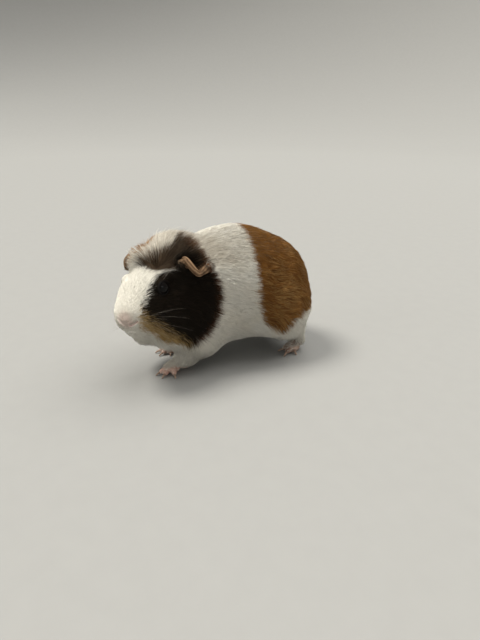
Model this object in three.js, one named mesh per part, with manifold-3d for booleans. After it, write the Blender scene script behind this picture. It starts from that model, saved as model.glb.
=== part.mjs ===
// A guinea pig, life size, standing still with its head turned to its left.
// Millimetres, +Z up. The animal faces -Y and its left side is +X. The origin is on the floor, under the
// middle of its outline. Head, neck, trunk and legs are drawn out to the tips of the coat. Ears, eyes and
// feet are bare.
import * as THREE from "three";
import { mergeVertices } from "three/addons/utils/BufferGeometryUtils.js";
import Module from "manifold-3d";

const wasm = await Module();
wasm.setup();

const { Vector3, Matrix4, Box3 } = THREE;
const { degToRad, lerp, clamp } = THREE.MathUtils;

// ---------------------------------------------------------------- driving dimensions

const GAP = 0.3; // left between neighbouring parts
const TRUNK_CELL = 8.8; // side of the cubes that a surface is found in, part by part
const HEAD_CELL = 5.7;
const LEG_CELL = 7;
const TIDY = 0.04; // points nearer than this to a flat or to each other are merged after cutting
const FAR = 600; // larger than the animal, for cutting blocks

// The head's own frame lies between the ears. Places in it are forward, left and up.
const HEAD = { place: [66.5, 4, 100], yaw: 42 };
const SNOUT_LENGTH = 62.5; // from between the ears to the tip of the nose
const EYE = { place: [33, 17.6, -1.5], lean: 1.3, radius: 6.1 }; // both eyes lie a little to the left
const EAR = {
  thickness: 1.8,
  sag: 3.5,
  rim: [2, 2.3, 2.2, 1.8, 1.5, 1.4, 1.7, 1.9, 1.6, 1.1], // radius of the rolled edge from front to rear
};

// Claw tips are forward and left of the wrist, and of the ball of the hind foot.
const PAW = { palm: [9.5, 8.5, 5.2], toeRadius: 2.8, clawLength: 4.6, clawRadius: 1.05 };
const HIND = { palm: [9.5, 8, 5.4], toeRadius: 3.0, clawLength: 6, clawRadius: 1.3 };

const FRONT_LEGS = {
  left: {
    shoulder: [26, 27, 56],
    elbow: [35, 29.5, 32.5],
    wrist: [60, 20, 8],
    claws: [[14, -12], [26, 3], [22, 11], [10, 17]],
  },
  right: {
    shoulder: [26, -24, 54],
    elbow: [30, -26, 30],
    wrist: [48, -20, 9],
    claws: [[12.5, 10], [23.5, 5], [25, -4], [14, -12]],
  },
};
const HIND_LEGS = {
  left: {
    hip: [-50, 32, 52],
    knee: [-46, 39, 44],
    heel: [-73, 31, 15],
    ball: [-64, 33],
    claws: [[15, -4], [15, 9.5], [1, 12]],
  },
  right: {
    hip: [-50, -32, 52],
    knee: [-46, -39, 44],
    heel: [-70, -31, 15],
    ball: [-60, -33],
    claws: [[15, 2], [15, -9], [3, -13]],
  },
};

const TINT = {
  coat: "#d8d0bf",
  ear: "#a57f62",
  eye: "#120d0b",
  foot: "#c58f80",
  claw: "#8a7060",
};

// ---------------------------------------------------------------- places

// A point given as forward, left and up, which are -Y, +X and +Z.
const spot = (forward, left, up) => new Vector3(left, -forward, up);
// Half-lengths given along, across and up.
const half = (along, across, high) => new Vector3(across, along, high);

// The frame of a part that stands at a point and is turned to the left by yaw and down by pitch.
function frameAt(point, yaw = 0, pitch = 0) {
  const turn = new THREE.Euler(degToRad(pitch), 0, degToRad(yaw), "ZYX");
  return new Matrix4().makeRotationFromEuler(turn).setPosition(point);
}

// A left and a right copy of what make(side) gives, with side 1 on the left and -1 on the right.
const pair = (make) => [make(1), make(-1)];

const headFrame = frameAt(spot(...HEAD.place), HEAD.yaw);
const onHead = (forward, left, up) => spot(forward, left, up).applyMatrix4(headFrame);

// ---------------------------------------------------------------- fields
// A field gives the distance from a point to a surface, negative inside.

// An egg: an ellipsoid in a frame of its own.
function egg(centre, halves, yaw = 0, pitch = 0) {
  const into = frameAt(centre, yaw, pitch).invert();
  const near = new Vector3();
  return (p) => {
    const k0 = near.copy(p).applyMatrix4(into).divide(halves).length();
    const k1 = near.divide(halves).length();
    return k1 > 1e-9 ? (k0 * (k0 - 1)) / k1 : -Math.min(halves.x, halves.y, halves.z);
  };
}

// A limb from a to b that tapers from one radius to the other, with round ends.
function limb(a, b, radiusA, radiusB) {
  const axis = b.clone().sub(a);
  const length2 = axis.lengthSq();
  const q = new Vector3();
  return (p) => {
    const t = clamp(q.copy(p).sub(a).dot(axis) / length2, 0, 1);
    return q.addScaledVector(axis, -t).length() - lerp(radiusA, radiusB, t);
  };
}

// Fields joined with a fillet of about the given width.
function blend(width, ...fields) {
  return (p) => {
    let d = fields[0](p);
    for (let i = 1; i < fields.length; i++) {
      const e = fields[i](p);
      const h = Math.max(width - Math.abs(d - e), 0) / width;
      d = Math.min(d, e) - (h * h * width) / 4;
    }
    return d;
  };
}

// A field with others taken out of it, their edges rounded over about the given width.
function carve(width, field, ...others) {
  const hollowed = blend(width, (p) => -field(p), ...others);
  return (p) => -hollowed(p);
}

// The same field seen from a turned and shifted frame.
function placed(field, frame) {
  const into = frame.clone().invert();
  const q = new Vector3();
  return (p) => field(q.copy(p).applyMatrix4(into));
}

// ---------------------------------------------------------------- the body as one field

function headField() {
  const skull = egg(spot(10, 0, -9), half(31, 25, 25));
  const brow = egg(spot(28, 0, -9), half(22, 24.5, 16.5), 0, 8);
  const bridge = limb(spot(30, 0, -9), spot(SNOUT_LENGTH - 11, 0, -21), 15.5, 11.5);
  const sides = pair((side) => limb(spot(34, 9 * side, -12), spot(48, 7 * side, -20), 12, 9.5));
  const nose = egg(spot(SNOUT_LENGTH - 12, 0, -25), half(12, 12, 12), 0, 15);
  const pads = pair((side) => egg(spot(50, 7.5 * side, -28), half(12.5, 8.5, 12), 0, 15));
  const chin = egg(spot(45, 0, -42), half(14, 10, 6.5), 0, -6);
  const cheeks = pair((side) => egg(spot(22, 13 * side, -26), half(27, 15.5, 23), -10 * side));
  const jowls = pair((side) => egg(spot(11, 13 * side, -48), half(26, 17, 22)));
  const snout = blend(6, nose, ...pads, chin);
  const full = blend(12, skull, brow, bridge, ...sides, snout, ...cheeks, ...jowls);
  const [eyeForward, , eyeUp] = EYE.place;
  const sockets = pair((side) => egg(spot(eyeForward + 1, EYE.lean + 29.5 * side, eyeUp), half(8.5, 7.5, 7)));
  return carve(3, full, ...sockets);
}

// Raised hair behind and beside the whorl on the forehead.
function crestField() {
  return blend(8, egg(spot(-9, 0, 14), half(19, 24, 20)), egg(spot(11, -12, 13), half(15, 15, 15)));
}

function trunkField() {
  const haunches = egg(spot(-47.5, 0, 71), half(44, 50, 51));
  const rump = egg(spot(-57, 0, 48), half(28.5, 42, 31.5));
  const barrel = egg(spot(-13, 0, 76.5), half(50, 50, 62));
  const shoulders = egg(spot(17, 2, 83), half(38, 42, 51));
  const breast = egg(spot(28, 4, 48), half(34, 36, 32));
  return blend(18, haunches, rump, barrel, shoulders, breast);
}

function neckField() {
  return blend(16, egg(spot(50, 2, 92), half(26, 27, 35)), egg(spot(52, 10, 60), half(26, 28, 30)));
}

function frontLegField({ shoulder, elbow, wrist }) {
  const [top, bend, low] = [shoulder, elbow, wrist].map((place) => spot(...place));
  return blend(8, limb(top, bend, 18, 14.5), limb(bend, low, 14.5, 8.5));
}

function hindLegField({ hip, knee, heel }) {
  return blend(10, egg(spot(...hip), half(32, 20, 28)), limb(spot(...knee), spot(...heel), 14, 7.5));
}

const bodyField = blend(
  15,
  blend(18, trunkField(), neckField(), placed(blend(8, headField(), crestField()), headFrame)),
  ...Object.values(FRONT_LEGS).map(frontLegField),
  ...Object.values(HIND_LEGS).map(hindLegField),
);

// ---------------------------------------------------------------- from fields to solids

// Moves a point along the field's slope until it lies on the surface, but no further than a reach.
function settle(point, field, reach) {
  const start = point.clone();
  const step = 0.05;
  const slope = new Vector3();
  const probe = new Vector3();
  for (let round = 0; round < 4; round++) {
    const d = field(point);
    for (const axis of ["x", "y", "z"]) {
      probe.copy(point)[axis] += step;
      slope[axis] = (field(probe) - d) / step;
    }
    point.addScaledVector(slope, -d / Math.max(slope.lengthSq(), 0.2));
  }
  const moved = point.clone().sub(start);
  return moved.length() > reach ? start.add(moved.setLength(reach)) : point;
}

// The field's values on a grid of cubes that fills a box, and how to walk it.
function sampled(field, box, cell) {
  const counts = box.getSize(new Vector3()).divideScalar(cell).ceil().addScalar(1);
  const stride = [1, counts.x, counts.x * counts.y];
  const place = (i, j, k) => new Vector3(i, j, k).multiplyScalar(cell).add(box.min);
  const each = (act) => {
    for (let k = 0; k < counts.z; k++)
      for (let j = 0; j < counts.y; j++)
        for (let i = 0; i < counts.x; i++) act([i, j, k], i + j * stride[1] + k * stride[2]);
  };
  const value = new Float32Array(counts.x * counts.y * counts.z);
  each((where, at) => (value[at] = field(place(...where))));
  return { counts: counts.toArray(), stride, place, each, value, cell };
}

// The mean of the places where the surface crosses the edges of one cube, or nothing.
function crossing({ stride, place, value, cell }, where, at) {
  const sum = new Vector3();
  let found = 0;
  for (let corner = 0; corner < 8; corner++) {
    const bits = [corner & 1, (corner >> 1) & 1, corner >> 2];
    const from = at + bits[0] + bits[1] * stride[1] + bits[2] * stride[2];
    for (let axis = 0; axis < 3; axis++) {
      const [a, b] = [value[from], value[from + stride[axis]]];
      if (bits[axis] || a < 0 === b < 0) continue;
      const point = place(...where.map((n, i) => n + bits[i]));
      point.setComponent(axis, point.getComponent(axis) + (cell * a) / (a - b));
      sum.add(point);
      found++;
    }
  }
  return found ? sum.divideScalar(found) : null;
}

// A closed mesh of the surface where a field is zero: one point in each cube that the surface crosses, and
// a quad round each of the cubes' edges that it crosses. The box has to hold the whole surface.
function net(field, box, cell) {
  const grid = sampled(field, box, cell);
  const { counts, stride, each, value } = grid;
  const order = new Map();
  const points = [];
  each((where, at) => {
    if (where.some((n, i) => n + 1 >= counts[i])) return;
    const point = crossing(grid, where, at);
    if (!point) return;
    order.set(at, points.length);
    points.push(settle(point, field, cell * 0.45));
  });
  const triangles = [];
  each((where, at) => {
    for (let axis = 0; axis < 3; axis++) {
      const [u, v] = [(axis + 1) % 3, (axis + 2) % 3];
      if (where[axis] + 1 >= counts[axis] || !where[u] || !where[v]) continue;
      const inside = value[at] < 0;
      if (inside === value[at + stride[axis]] < 0) continue;
      const round = [0, stride[u], stride[u] + stride[v], stride[v]].map((back) => order.get(at - back));
      const [a, b, c, d] = inside ? round : round.reverse();
      const shorter = points[a].distanceTo(points[c]) < points[b].distanceTo(points[d]);
      triangles.push(...(shorter ? [a, b, c, a, c, d] : [b, c, d, b, d, a]));
    }
  });
  return new THREE.BufferGeometry().setFromPoints(points).setIndex(triangles);
}

// A geometry as a solid that can be joined and cut.
function solid(geometry) {
  const bare = geometry.clone();
  for (const name of Object.keys(bare.attributes)) if (name !== "position") bare.deleteAttribute(name);
  const merged = mergeVertices(bare, 1e-3);
  return new wasm.Manifold(
    new wasm.Mesh({
      numProp: 3,
      vertProperties: Float32Array.from(merged.attributes.position.array),
      triVerts: Uint32Array.from(merged.index.array),
    }),
  );
}

// A solid as a geometry.
function geometryOf(made) {
  const mesh = made.simplify(TIDY).getMesh();
  const geometry = new THREE.BufferGeometry();
  const { vertProperties, triVerts } = mesh;
  geometry.setAttribute("position", new THREE.BufferAttribute(Float32Array.from(vertProperties), 3));
  geometry.setIndex(new THREE.BufferAttribute(Uint32Array.from(triVerts), 1));
  geometry.computeVertexNormals();
  return geometry;
}

// The part of space on the far side of a plane, as a big block whose near face is a margin beyond it.
function beyond([point, normal], margin) {
  const away = normal.clone().normalize();
  const block = new THREE.BoxGeometry(FAR, FAR, FAR);
  block.applyQuaternion(new THREE.Quaternion().setFromUnitVectors(new Vector3(0, 0, 1), away));
  const centre = point.clone().addScaledVector(away, FAR / 2 + margin);
  return solid(block.translate(...centre.toArray()));
}

// The space on the far side of every one of some planes, drawn in by a margin.
function corner(planes, margin) {
  const blocks = planes.map((plane) => beyond(plane, margin));
  return blocks.reduce((a, b) => a.intersect(b));
}
const inside = (body, planes) => body.intersect(corner(planes, GAP / 2));
const outside = (body, planes) => body.subtract(corner(planes, -GAP / 2));

// ---------------------------------------------------------------- lofts

// A closed tube of round rings along a path, one ring for each point.
function tube(points, radii, sides) {
  const rings = points.map((point, i) => {
    const [before, after] = [points[Math.max(i - 1, 0)], points[Math.min(i + 1, points.length - 1)]];
    const along = after.clone().sub(before).normalize();
    const across = new Vector3(0, 0, 1).cross(along).normalize();
    const high = along.clone().cross(across);
    return Array.from({ length: sides }, (_, k) => {
      const angle = (2 * Math.PI * k) / sides;
      const out = across.clone().multiplyScalar(Math.cos(angle)).addScaledVector(high, Math.sin(angle));
      return point.clone().addScaledVector(out, radii[i]);
    });
  });
  const ends = [points[0].clone(), points.at(-1).clone()];
  const vertices = [...rings.flat(), ...ends];
  const faces = [];
  for (let k = 0; k < sides; k++) {
    const next = (k + 1) % sides;
    for (let i = 0; i + 1 < rings.length; i++) {
      const [a, b] = [i * sides, (i + 1) * sides];
      faces.push(a + k, a + next, b + next, a + k, b + next, b + k);
    }
    const last = (rings.length - 1) * sides;
    faces.push(rings.length * sides, next, k);
    faces.push(rings.length * sides + 1, last + k, last + next);
  }
  return solid(new THREE.BufferGeometry().setFromPoints(vertices).setIndex(faces));
}

// A closed sheet of even thickness over a grid of points[row][column].
function sheet(points, thickness) {
  const [rows, columns] = [points.length, points[0].length];
  const at = (i, j) => points[clamp(i, 0, rows - 1)][clamp(j, 0, columns - 1)];
  const shifted = (distance) =>
    points.map((row, i) =>
      row.map((point, j) => {
        const down = at(i + 1, j).clone().sub(at(i - 1, j));
        const over = at(i, j + 1).clone().sub(at(i, j - 1));
        return point.clone().addScaledVector(over.cross(down).normalize(), distance);
      }),
    );
  const vertices = [...shifted(thickness / 2).flat(), ...shifted(-thickness / 2).flat()];
  const faces = [];
  const quad = (a, b, c, d) => faces.push(a, b, c, a, c, d);
  const [front, back] = [(i, j) => i * columns + j, (i, j) => rows * columns + i * columns + j];
  for (let i = 0; i + 1 < rows; i++)
    for (let j = 0; j + 1 < columns; j++) {
      quad(front(i, j), front(i, j + 1), front(i + 1, j + 1), front(i + 1, j));
      quad(back(i, j), back(i + 1, j), back(i + 1, j + 1), back(i, j + 1));
    }
  for (let i = 0; i + 1 < rows; i++) {
    quad(front(i, 0), front(i + 1, 0), back(i + 1, 0), back(i, 0));
    const last = columns - 1;
    quad(front(i + 1, last), front(i, last), back(i, last), back(i + 1, last));
  }
  for (let j = 0; j + 1 < columns; j++) {
    quad(front(0, j + 1), front(0, j), back(0, j), back(0, j + 1));
    const last = rows - 1;
    quad(front(last, j), front(last, j + 1), back(last, j + 1), back(last, j));
  }
  return solid(new THREE.BufferGeometry().setFromPoints(vertices).setIndex(faces));
}

// ---------------------------------------------------------------- ears and eyes

// An ear hangs out and back from the head like a petal: an edge on the head, and a free edge that dips
// between its front and its rear. Places are forward, out to the side and up in the head's frame.
const EAR_ROOT = [[7, 21, 15], [0, 20, 14], [-8, 21, 13], [-15, 23, 12]];
const EAR_EDGE = [
  [5, 27, 17],
  [5, 34, 11],
  [3, 41, 3.5],
  [-1, 45, 4],
  [-6, 47, 8],
  [-12, 43.5, 11],
  [-16, 34, 13],
];

// The first and last of some points moved outwards along their line.
function lengthened(points, by) {
  const [first, second, last, before] = [points[0], points[1], points.at(-1), points.at(-2)];
  const start = first.clone().add(first.clone().sub(second).setLength(by));
  return [start, ...points.slice(1, -1), last.clone().add(last.clone().sub(before).setLength(by))];
}

function ear(side, grown) {
  const longer = 3 * grown + 0.001;
  const curve = (list) => {
    const points = list.map(([forward, out, high]) => onHead(forward, out * side, high));
    return lengthened(new THREE.CatmullRomCurve3(points).getPoints(9), longer);
  };
  const [root, edge] = [curve(EAR_ROOT), curve(EAR_EDGE)];
  const rows = root.map((start, i) => {
    const across = Math.sin((Math.PI * i) / (root.length - 1));
    const row = [0, 1, 2, 3].map((j) => {
      const point = start.clone().lerp(edge[i], j / 3);
      point.z -= EAR.sag * across * Math.sin((Math.PI * j) / 3);
      return point;
    });
    return side > 0 ? lengthened(row, longer) : lengthened(row, longer).reverse();
  });
  const radii = EAR.rim.map((radius) => radius + grown);
  return sheet(rows, EAR.thickness + 3 * grown).add(tube(edge, radii, 6));
}

function eye(side, grown) {
  const ball = new THREE.SphereGeometry(EYE.radius + grown, 14, 8).rotateX(Math.PI / 2);
  const [forward, out, up] = EYE.place;
  return solid(ball.translate(...onHead(forward, out * side + EYE.lean, up).toArray()));
}

// ---------------------------------------------------------------- feet

// The path of a toe from under the palm over a knuckle to where its claw starts, and on to the claw's tip.
function toePath(start, clawTip, radius, clawLength) {
  const tip = new Vector3(clawTip.x, clawTip.y, 0.7);
  const way = tip.clone().sub(start).setZ(0);
  const reach = way.length() - clawLength;
  way.normalize();
  const at = (share, height) => start.clone().addScaledVector(way, reach * share).setZ(height);
  const toe = [at(0, radius + 1.6), at(0.45, radius + 2), at(0.88, radius + 0.4), at(1.03, radius)];
  return { toe, radii: [1.15, 1.1, 0.95, 0.45].map((n) => n * radius), tip };
}

function claw({ toe, tip }, radius, grown) {
  const root = toe[2];
  const middle = root.clone().lerp(tip, 0.6);
  middle.z = lerp(root.z, tip.z, 0.6) + 0.7;
  const points = [root.clone().lerp(middle, -0.1 - grown * 0.2), root.clone().lerp(middle, 0.5), middle, tip];
  const radii = [radius, radius * 0.95, radius * 0.75, 0.35].map((r) => r + grown);
  return tube(points, radii, 5);
}

// A foot from its palm, a stump up to the leg, and toes; with the claws that stand in its toes.
function foot({ palmAt, palm, stump, claws, toeRadius, clawLength, clawRadius }) {
  const [along, across, high] = palm;
  const ball = new THREE.SphereGeometry(1, 10, 6).rotateX(Math.PI / 2).scale(across, along, high);
  ball.translate(palmAt.x, palmAt.y, high - 0.6);
  const paths = claws.map(([f, l]) => {
    const start = palmAt.clone();
    return toePath(start, spot(f, l, 0).add(stump[0]).setZ(0), toeRadius, clawLength);
  });
  const stumpRadii = [0.72, 0.72, 0.78].map((share) => share * across);
  let body = solid(ball).add(tube(stump, stumpRadii, 9));
  for (const path of paths) body = body.add(tube(path.toe, path.radii, 6));
  for (const path of paths) body = body.subtract(claw(path, clawRadius, GAP));
  const floor = [new Vector3(0, 0, 0), new Vector3(0, 0, 1)];
  return { body: body.intersect(beyond(floor, 0)), claws: paths.map((path) => claw(path, clawRadius, 0)) };
}

// ---------------------------------------------------------------- the parts

const group = new THREE.Group();
function add(name, made, tint, roughness = 0.9) {
  const material = new THREE.MeshStandardMaterial({ color: tint, roughness });
  const mesh = new THREE.Mesh(geometryOf(made), material);
  mesh.name = name;
  group.add(mesh);
}

const plane = (point, normal) => [point, normal];
const up = new Vector3(0, 0, 1);
const dir = (forward, left, high) => spot(forward, left, high);

const headPlane = plane(onHead(-21, 0, 8), dir(0.86, 0.28, 0.42));
const neckPlane = plane(spot(28, 0, 90), dir(0.97, 0.2, 0.05));
const box = new Box3(new Vector3(-75, -160, -12), new Vector3(78, 122, 152));

const FRONT_CUT = (side) => [
  plane(spot(60, 0, 29), dir(-0.36, 0, -0.93)),
  plane(spot(8, 0, 0), dir(1, 0, 0)),
  plane(spot(0, 1 * side, 0), dir(0, side, 0)),
];
const HIND_CUT = (side) => [
  plane(spot(-52, 0, 44), dir(0.1, 0, -1)),
  plane(spot(-22, 0, 0), dir(-1, 0, 0)),
  plane(spot(0, 1 * side, 0), dir(0, side, 0)),
];
const cuts = {
  leg_front_left: FRONT_CUT(1),
  leg_front_right: FRONT_CUT(-1),
  leg_hind_left: HIND_CUT(1),
  leg_hind_right: HIND_CUT(-1),
};

// Where each leg ends above its foot.
const ends = {
  leg_front_left: plane(spot(63, 20, 8.5), dir(-0.55, 0.2, 1)),
  leg_front_right: plane(spot(47, -21, 12), dir(-0.55, -0.1, 1)),
  leg_hind_left: plane(spot(-72, 32, 17), dir(0.2, 0.1, 1)),
  leg_hind_right: plane(spot(-69, -32, 17), dir(0.2, -0.1, 1)),
};

const trunkBody = solid(net(bodyField, box, TRUNK_CELL));
let trunk = outside(outside(trunkBody, [headPlane]), [neckPlane]);
for (const planes of Object.values(cuts)) trunk = outside(trunk, planes);

const headBody = solid(net(bodyField, box, HEAD_CELL));
let head = inside(headBody, [headPlane]);
for (const planes of Object.values(cuts)) head = outside(head, planes);
let neck = inside(outside(trunkBody, [headPlane]), [neckPlane]);
for (const planes of Object.values(cuts)) neck = outside(neck, planes);

const ears = { ear_left: (grown) => ear(1, grown), ear_right: (grown) => ear(-1, grown) };
const eyes = { eye_left: (grown) => eye(1, grown), eye_right: (grown) => eye(-1, grown) };
for (const make of [...Object.values(ears), ...Object.values(eyes)]) {
  const room = [1, 0.5, 0].map((share) => make(share * GAP)).reduce((a, b) => a.add(b));
  [head, neck, trunk] = [head, neck, trunk].map((body) => body.subtract(room));
}

add("trunk", trunk, TINT.coat);
add("neck", neck, TINT.coat);
add("head", head, TINT.coat);
for (const [name, make] of Object.entries(ears)) add(name, make(0), TINT.ear, 0.7);
for (const [name, make] of Object.entries(eyes)) add(name, make(0), TINT.eye, 0.1);

const legBody = solid(net(bodyField, box, LEG_CELL));
for (const [name, planes] of Object.entries(cuts)) {
  add(name, inside(inside(legBody, planes), [ends[name]]), TINT.coat);
}

for (const side of ["left", "right"]) {
  const front = FRONT_LEGS[side];
  const wrist = spot(front.wrist[0], front.wrist[1], 5);
  const made = foot({
    palmAt: wrist.clone().add(spot(8, 0, 0)),
    stump: [wrist, wrist.clone().setZ(8), spot(...front.wrist).add(spot(-3, 1, 6))],
    claws: front.claws,
    ...PAW,
  });
  const top = ends[`leg_front_${side}`];
  add(`foot_front_${side}`, made.body.subtract(beyond(top, -GAP / 2)), TINT.foot, 0.7);
  made.claws.forEach((body, i) => add(`claw_front_${side}_${i + 1}`, body, TINT.claw, 0.5));
}
for (const side of ["left", "right"]) {
  const hind = HIND_LEGS[side];
  const ball = spot(...hind.ball, 5);
  const made = foot({
    palmAt: ball.clone(),
    stump: [ball, spot(...hind.heel).setZ(9), spot(...hind.heel).add(spot(-1, 0, 5))],
    claws: hind.claws,
    ...HIND,
  });
  const top = ends[`leg_hind_${side}`];
  add(`foot_hind_${side}`, made.body.subtract(beyond(top, -GAP / 2)), TINT.foot, 0.7);
  made.claws.forEach((body, i) => add(`claw_hind_${side}_${i + 1}`, body, TINT.claw, 0.5));
}

// The origin goes under the middle of the outline.
const extent = new Box3().setFromObject(group);
const middle = extent.getCenter(new Vector3());
for (const mesh of group.children) mesh.geometry.translate(-middle.x, -middle.y, 0);

export default group;
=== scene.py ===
"""The looks of a life-size guinea pig: skin, a coat of tufts, eyes, claws, whiskers and a plain stage."""

import math

import bmesh
import bpy
import numpy as np
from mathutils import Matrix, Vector
from mathutils.bvhtree import BVHTree
from mathutils.kdtree import KDTree


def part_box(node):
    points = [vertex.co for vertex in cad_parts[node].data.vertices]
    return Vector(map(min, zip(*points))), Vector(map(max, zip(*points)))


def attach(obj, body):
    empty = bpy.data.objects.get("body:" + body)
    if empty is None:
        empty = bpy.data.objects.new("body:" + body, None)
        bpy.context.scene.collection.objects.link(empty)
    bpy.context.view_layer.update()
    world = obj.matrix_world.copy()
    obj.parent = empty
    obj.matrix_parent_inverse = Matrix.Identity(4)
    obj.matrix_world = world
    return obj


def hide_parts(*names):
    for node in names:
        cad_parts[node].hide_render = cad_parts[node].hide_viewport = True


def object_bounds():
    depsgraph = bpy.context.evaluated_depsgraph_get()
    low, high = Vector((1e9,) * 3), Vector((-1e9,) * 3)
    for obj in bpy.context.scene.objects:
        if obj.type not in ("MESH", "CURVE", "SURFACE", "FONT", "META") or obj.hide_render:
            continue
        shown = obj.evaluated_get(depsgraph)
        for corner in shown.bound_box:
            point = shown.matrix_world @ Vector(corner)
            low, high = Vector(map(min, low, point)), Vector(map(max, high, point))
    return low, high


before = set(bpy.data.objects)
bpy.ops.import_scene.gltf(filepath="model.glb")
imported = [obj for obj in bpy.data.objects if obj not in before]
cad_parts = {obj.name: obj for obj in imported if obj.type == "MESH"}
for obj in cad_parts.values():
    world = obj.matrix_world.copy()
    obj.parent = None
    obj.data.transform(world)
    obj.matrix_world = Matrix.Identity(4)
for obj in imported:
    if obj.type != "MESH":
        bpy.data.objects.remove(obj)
CAD_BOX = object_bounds()

bl_info = {
    "name": "Guinea pig",
    "version": (1, 0, 0),
    "blender": (4, 5, 0),
    "location": "3D View > Sidebar > Guinea pig",
    "description": "Skin, coat, eyes, claws and whiskers of a standing guinea pig",
    "category": "Add Mesh",
}

# ------------------------------------------------------------------ places on the animal
# Places on the body are forward, left and up in millimetres. Places on the head are the same, seen from
# between the ears with the head's turn taken out, and are often called f, h and k.

MM = 0.001
HEAD_PLACE = (66.5, 4.0, 100.0)
HEAD_TURN = math.radians(42)
EYE_PLACE = (33.0, 17.6, -1.5)
EYE_LEAN = 1.3
WHORL = (21.0, 7.0, 12.0)
CREST_MIDDLE = (-2, 2, 16)
CREST_HALVES = (30, 27, 24)
NOSE_TIP = (66.0, 0.0, -24.0)
NOSE_HALVES = (7.5, 8.5, 8.5)
FLESH = ("head", "neck", "trunk")
LEGS = ("leg_front_left", "leg_front_right", "leg_hind_left", "leg_hind_right")
FEET = ("foot_front_left", "foot_front_right", "foot_hind_left", "foot_hind_right")
# Each ankle's path down to its foot, on the body.
ANKLES = {
    "foot_front_left": ((50, 23.5, 18), (59, 20.5, 9.5), (66, 20, 6)),
    "foot_front_right": ((41, -22.5, 18), (48, -20.5, 10.5), (54, -20, 6)),
    "foot_hind_left": ((-66, 33, 23), (-71.5, 31.5, 14.5), (-68, 32, 7)),
    "foot_hind_right": ((-63, -33, 23), (-68.5, -31.5, 14.5), (-64, -32, 7)),
}


def middle(node):
    """The middle of a part of the frame."""
    low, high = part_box(node)
    return (low + high) / 2


def head_to_body(places):
    """Places on the head as places on the body."""
    f, h, k = np.moveaxis(np.asarray(places, float), -1, 0)
    c, s = math.cos(HEAD_TURN), math.sin(HEAD_TURN)
    x, y, z = HEAD_PLACE
    return np.stack([x + f * c - h * s, y + f * s + h * c, z + k], -1)


def body_to_head(places):
    """Places on the body as places on the head."""
    p, q, r = np.moveaxis(np.asarray(places, float) - HEAD_PLACE, -1, 0)
    c, s = math.cos(HEAD_TURN), math.sin(HEAD_TURN)
    return np.stack([p * c + q * s, q * c - p * s, r], -1)


# How far forward of the frame's origin the body's own origin lies.
FORE = float(head_to_body(np.add(EYE_PLACE, (0, EYE_LEAN, 0)))[0]) + middle("eye_left").y / MM


def to_body(points):
    """Points in metres as places on the body."""
    x, y, z = np.moveaxis(np.asarray(points, float) / MM, -1, 0)
    return np.stack([FORE - y, x, z], -1)


def to_world(places):
    """Places on the body as points in metres."""
    f, left, up = np.moveaxis(np.asarray(places, float), -1, 0)
    return np.stack([left, FORE - f, up], -1) * MM


def head_points(places):
    """Places on the head as points in metres."""
    return to_world(head_to_body(places))


def turned(directions):
    """Directions in the body's forward, left and up as directions in space."""
    f, left, up = np.moveaxis(np.asarray(directions, float), -1, 0)
    return np.stack([left, -f, up], -1)


def head_turned(directions):
    """Directions in the head's forward, left and up as directions in space."""
    return turned(head_to_body(directions) - HEAD_PLACE)


# ------------------------------------------------------------------ numbers over the body


def smooth(low, high, value):
    """0 at low, 1 at high, with an easy slope between; low may be the greater."""
    t = np.clip((value - low) / (high - low), 0, 1)
    return t * t * (3 - 2 * t)


def unit(vectors):
    """Vectors at length 1."""
    size = np.linalg.norm(vectors, axis=-1, keepdims=True)
    return vectors / np.maximum(size, 1e-9)


def ripple(places, wavelength, seed):
    """A soft random field between about -1 and 1 with waves of about the given length."""
    draw = np.random.default_rng(seed)
    total = np.zeros(len(places))
    for _ in range(6):
        wave = unit(draw.normal(size=3)) * draw.uniform(0.7, 1.4) * 2 * math.pi / wavelength
        total += np.sin(places @ wave + draw.uniform(0, 2 * math.pi))
    return total / 2.5


class Zones:
    """Where a set of places lies on the animal, as shares from 0 to 1."""

    def __init__(self, places):
        self.forward, self.left, self.up = places.T
        self.f, self.h, self.k = body_to_head(places).T
        self.head = smooth(-26, -6, self.f) * smooth(-76, -62, self.k) * smooth(62, 50, np.abs(self.h))
        self.muzzle = self.head * smooth(34, 56, self.f)
        self.nose = self.muzzle * smooth(56, 64, self.f)
        crest = (np.stack([self.f, self.h, self.k], 1) - CREST_MIDDLE) / CREST_HALVES
        self.crest = self.head * smooth(1.25, 0.75, np.linalg.norm(crest, axis=1)) * smooth(-4, 8, self.k)
        eye = np.stack([self.f, np.abs(self.h - EYE_LEAN), self.k], 1) - EYE_PLACE
        self.eye = self.head * smooth(16, 8, np.linalg.norm(eye, axis=1))
        front_leg = smooth(46, 24, self.up) * smooth(20, 34, self.forward)
        hind_leg = smooth(36, 22, self.up) * smooth(-40, -52, self.forward)
        self.leg = np.maximum(front_leg, hind_leg)
        self.foot = smooth(13, 6, self.up)
        self.chest = smooth(53, 42, self.up) * smooth(32, 50, self.forward) * (1 - self.leg)
        self.belly = smooth(34, 22, self.up) * smooth(-44, -34, self.forward) * smooth(34, 24, self.forward)
        self.tawny = smooth(-14, -22, self.forward) * smooth(34, 44, self.up)


# The coat's depth on the trunk, the lengths of tufts on the trunk and the head and their width, in millimetres,
# and how many tufts and how many leading locks grow on each square millimetre of the trunk.
COAT_DEPTH = 5.0
TRUNK_TUFT, HEAD_TUFT, TUFT_WIDTH = 14.0, 10.5, 0.42
TUFTS, LOCKS = 1.65, 0.15
# Starting numbers for all that is drawn by chance.
SEEDS = {"locks": 3, "tufts": 5, "coat": 11, "whiskers": 31, "sway": 7, "soles": 5}


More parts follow.
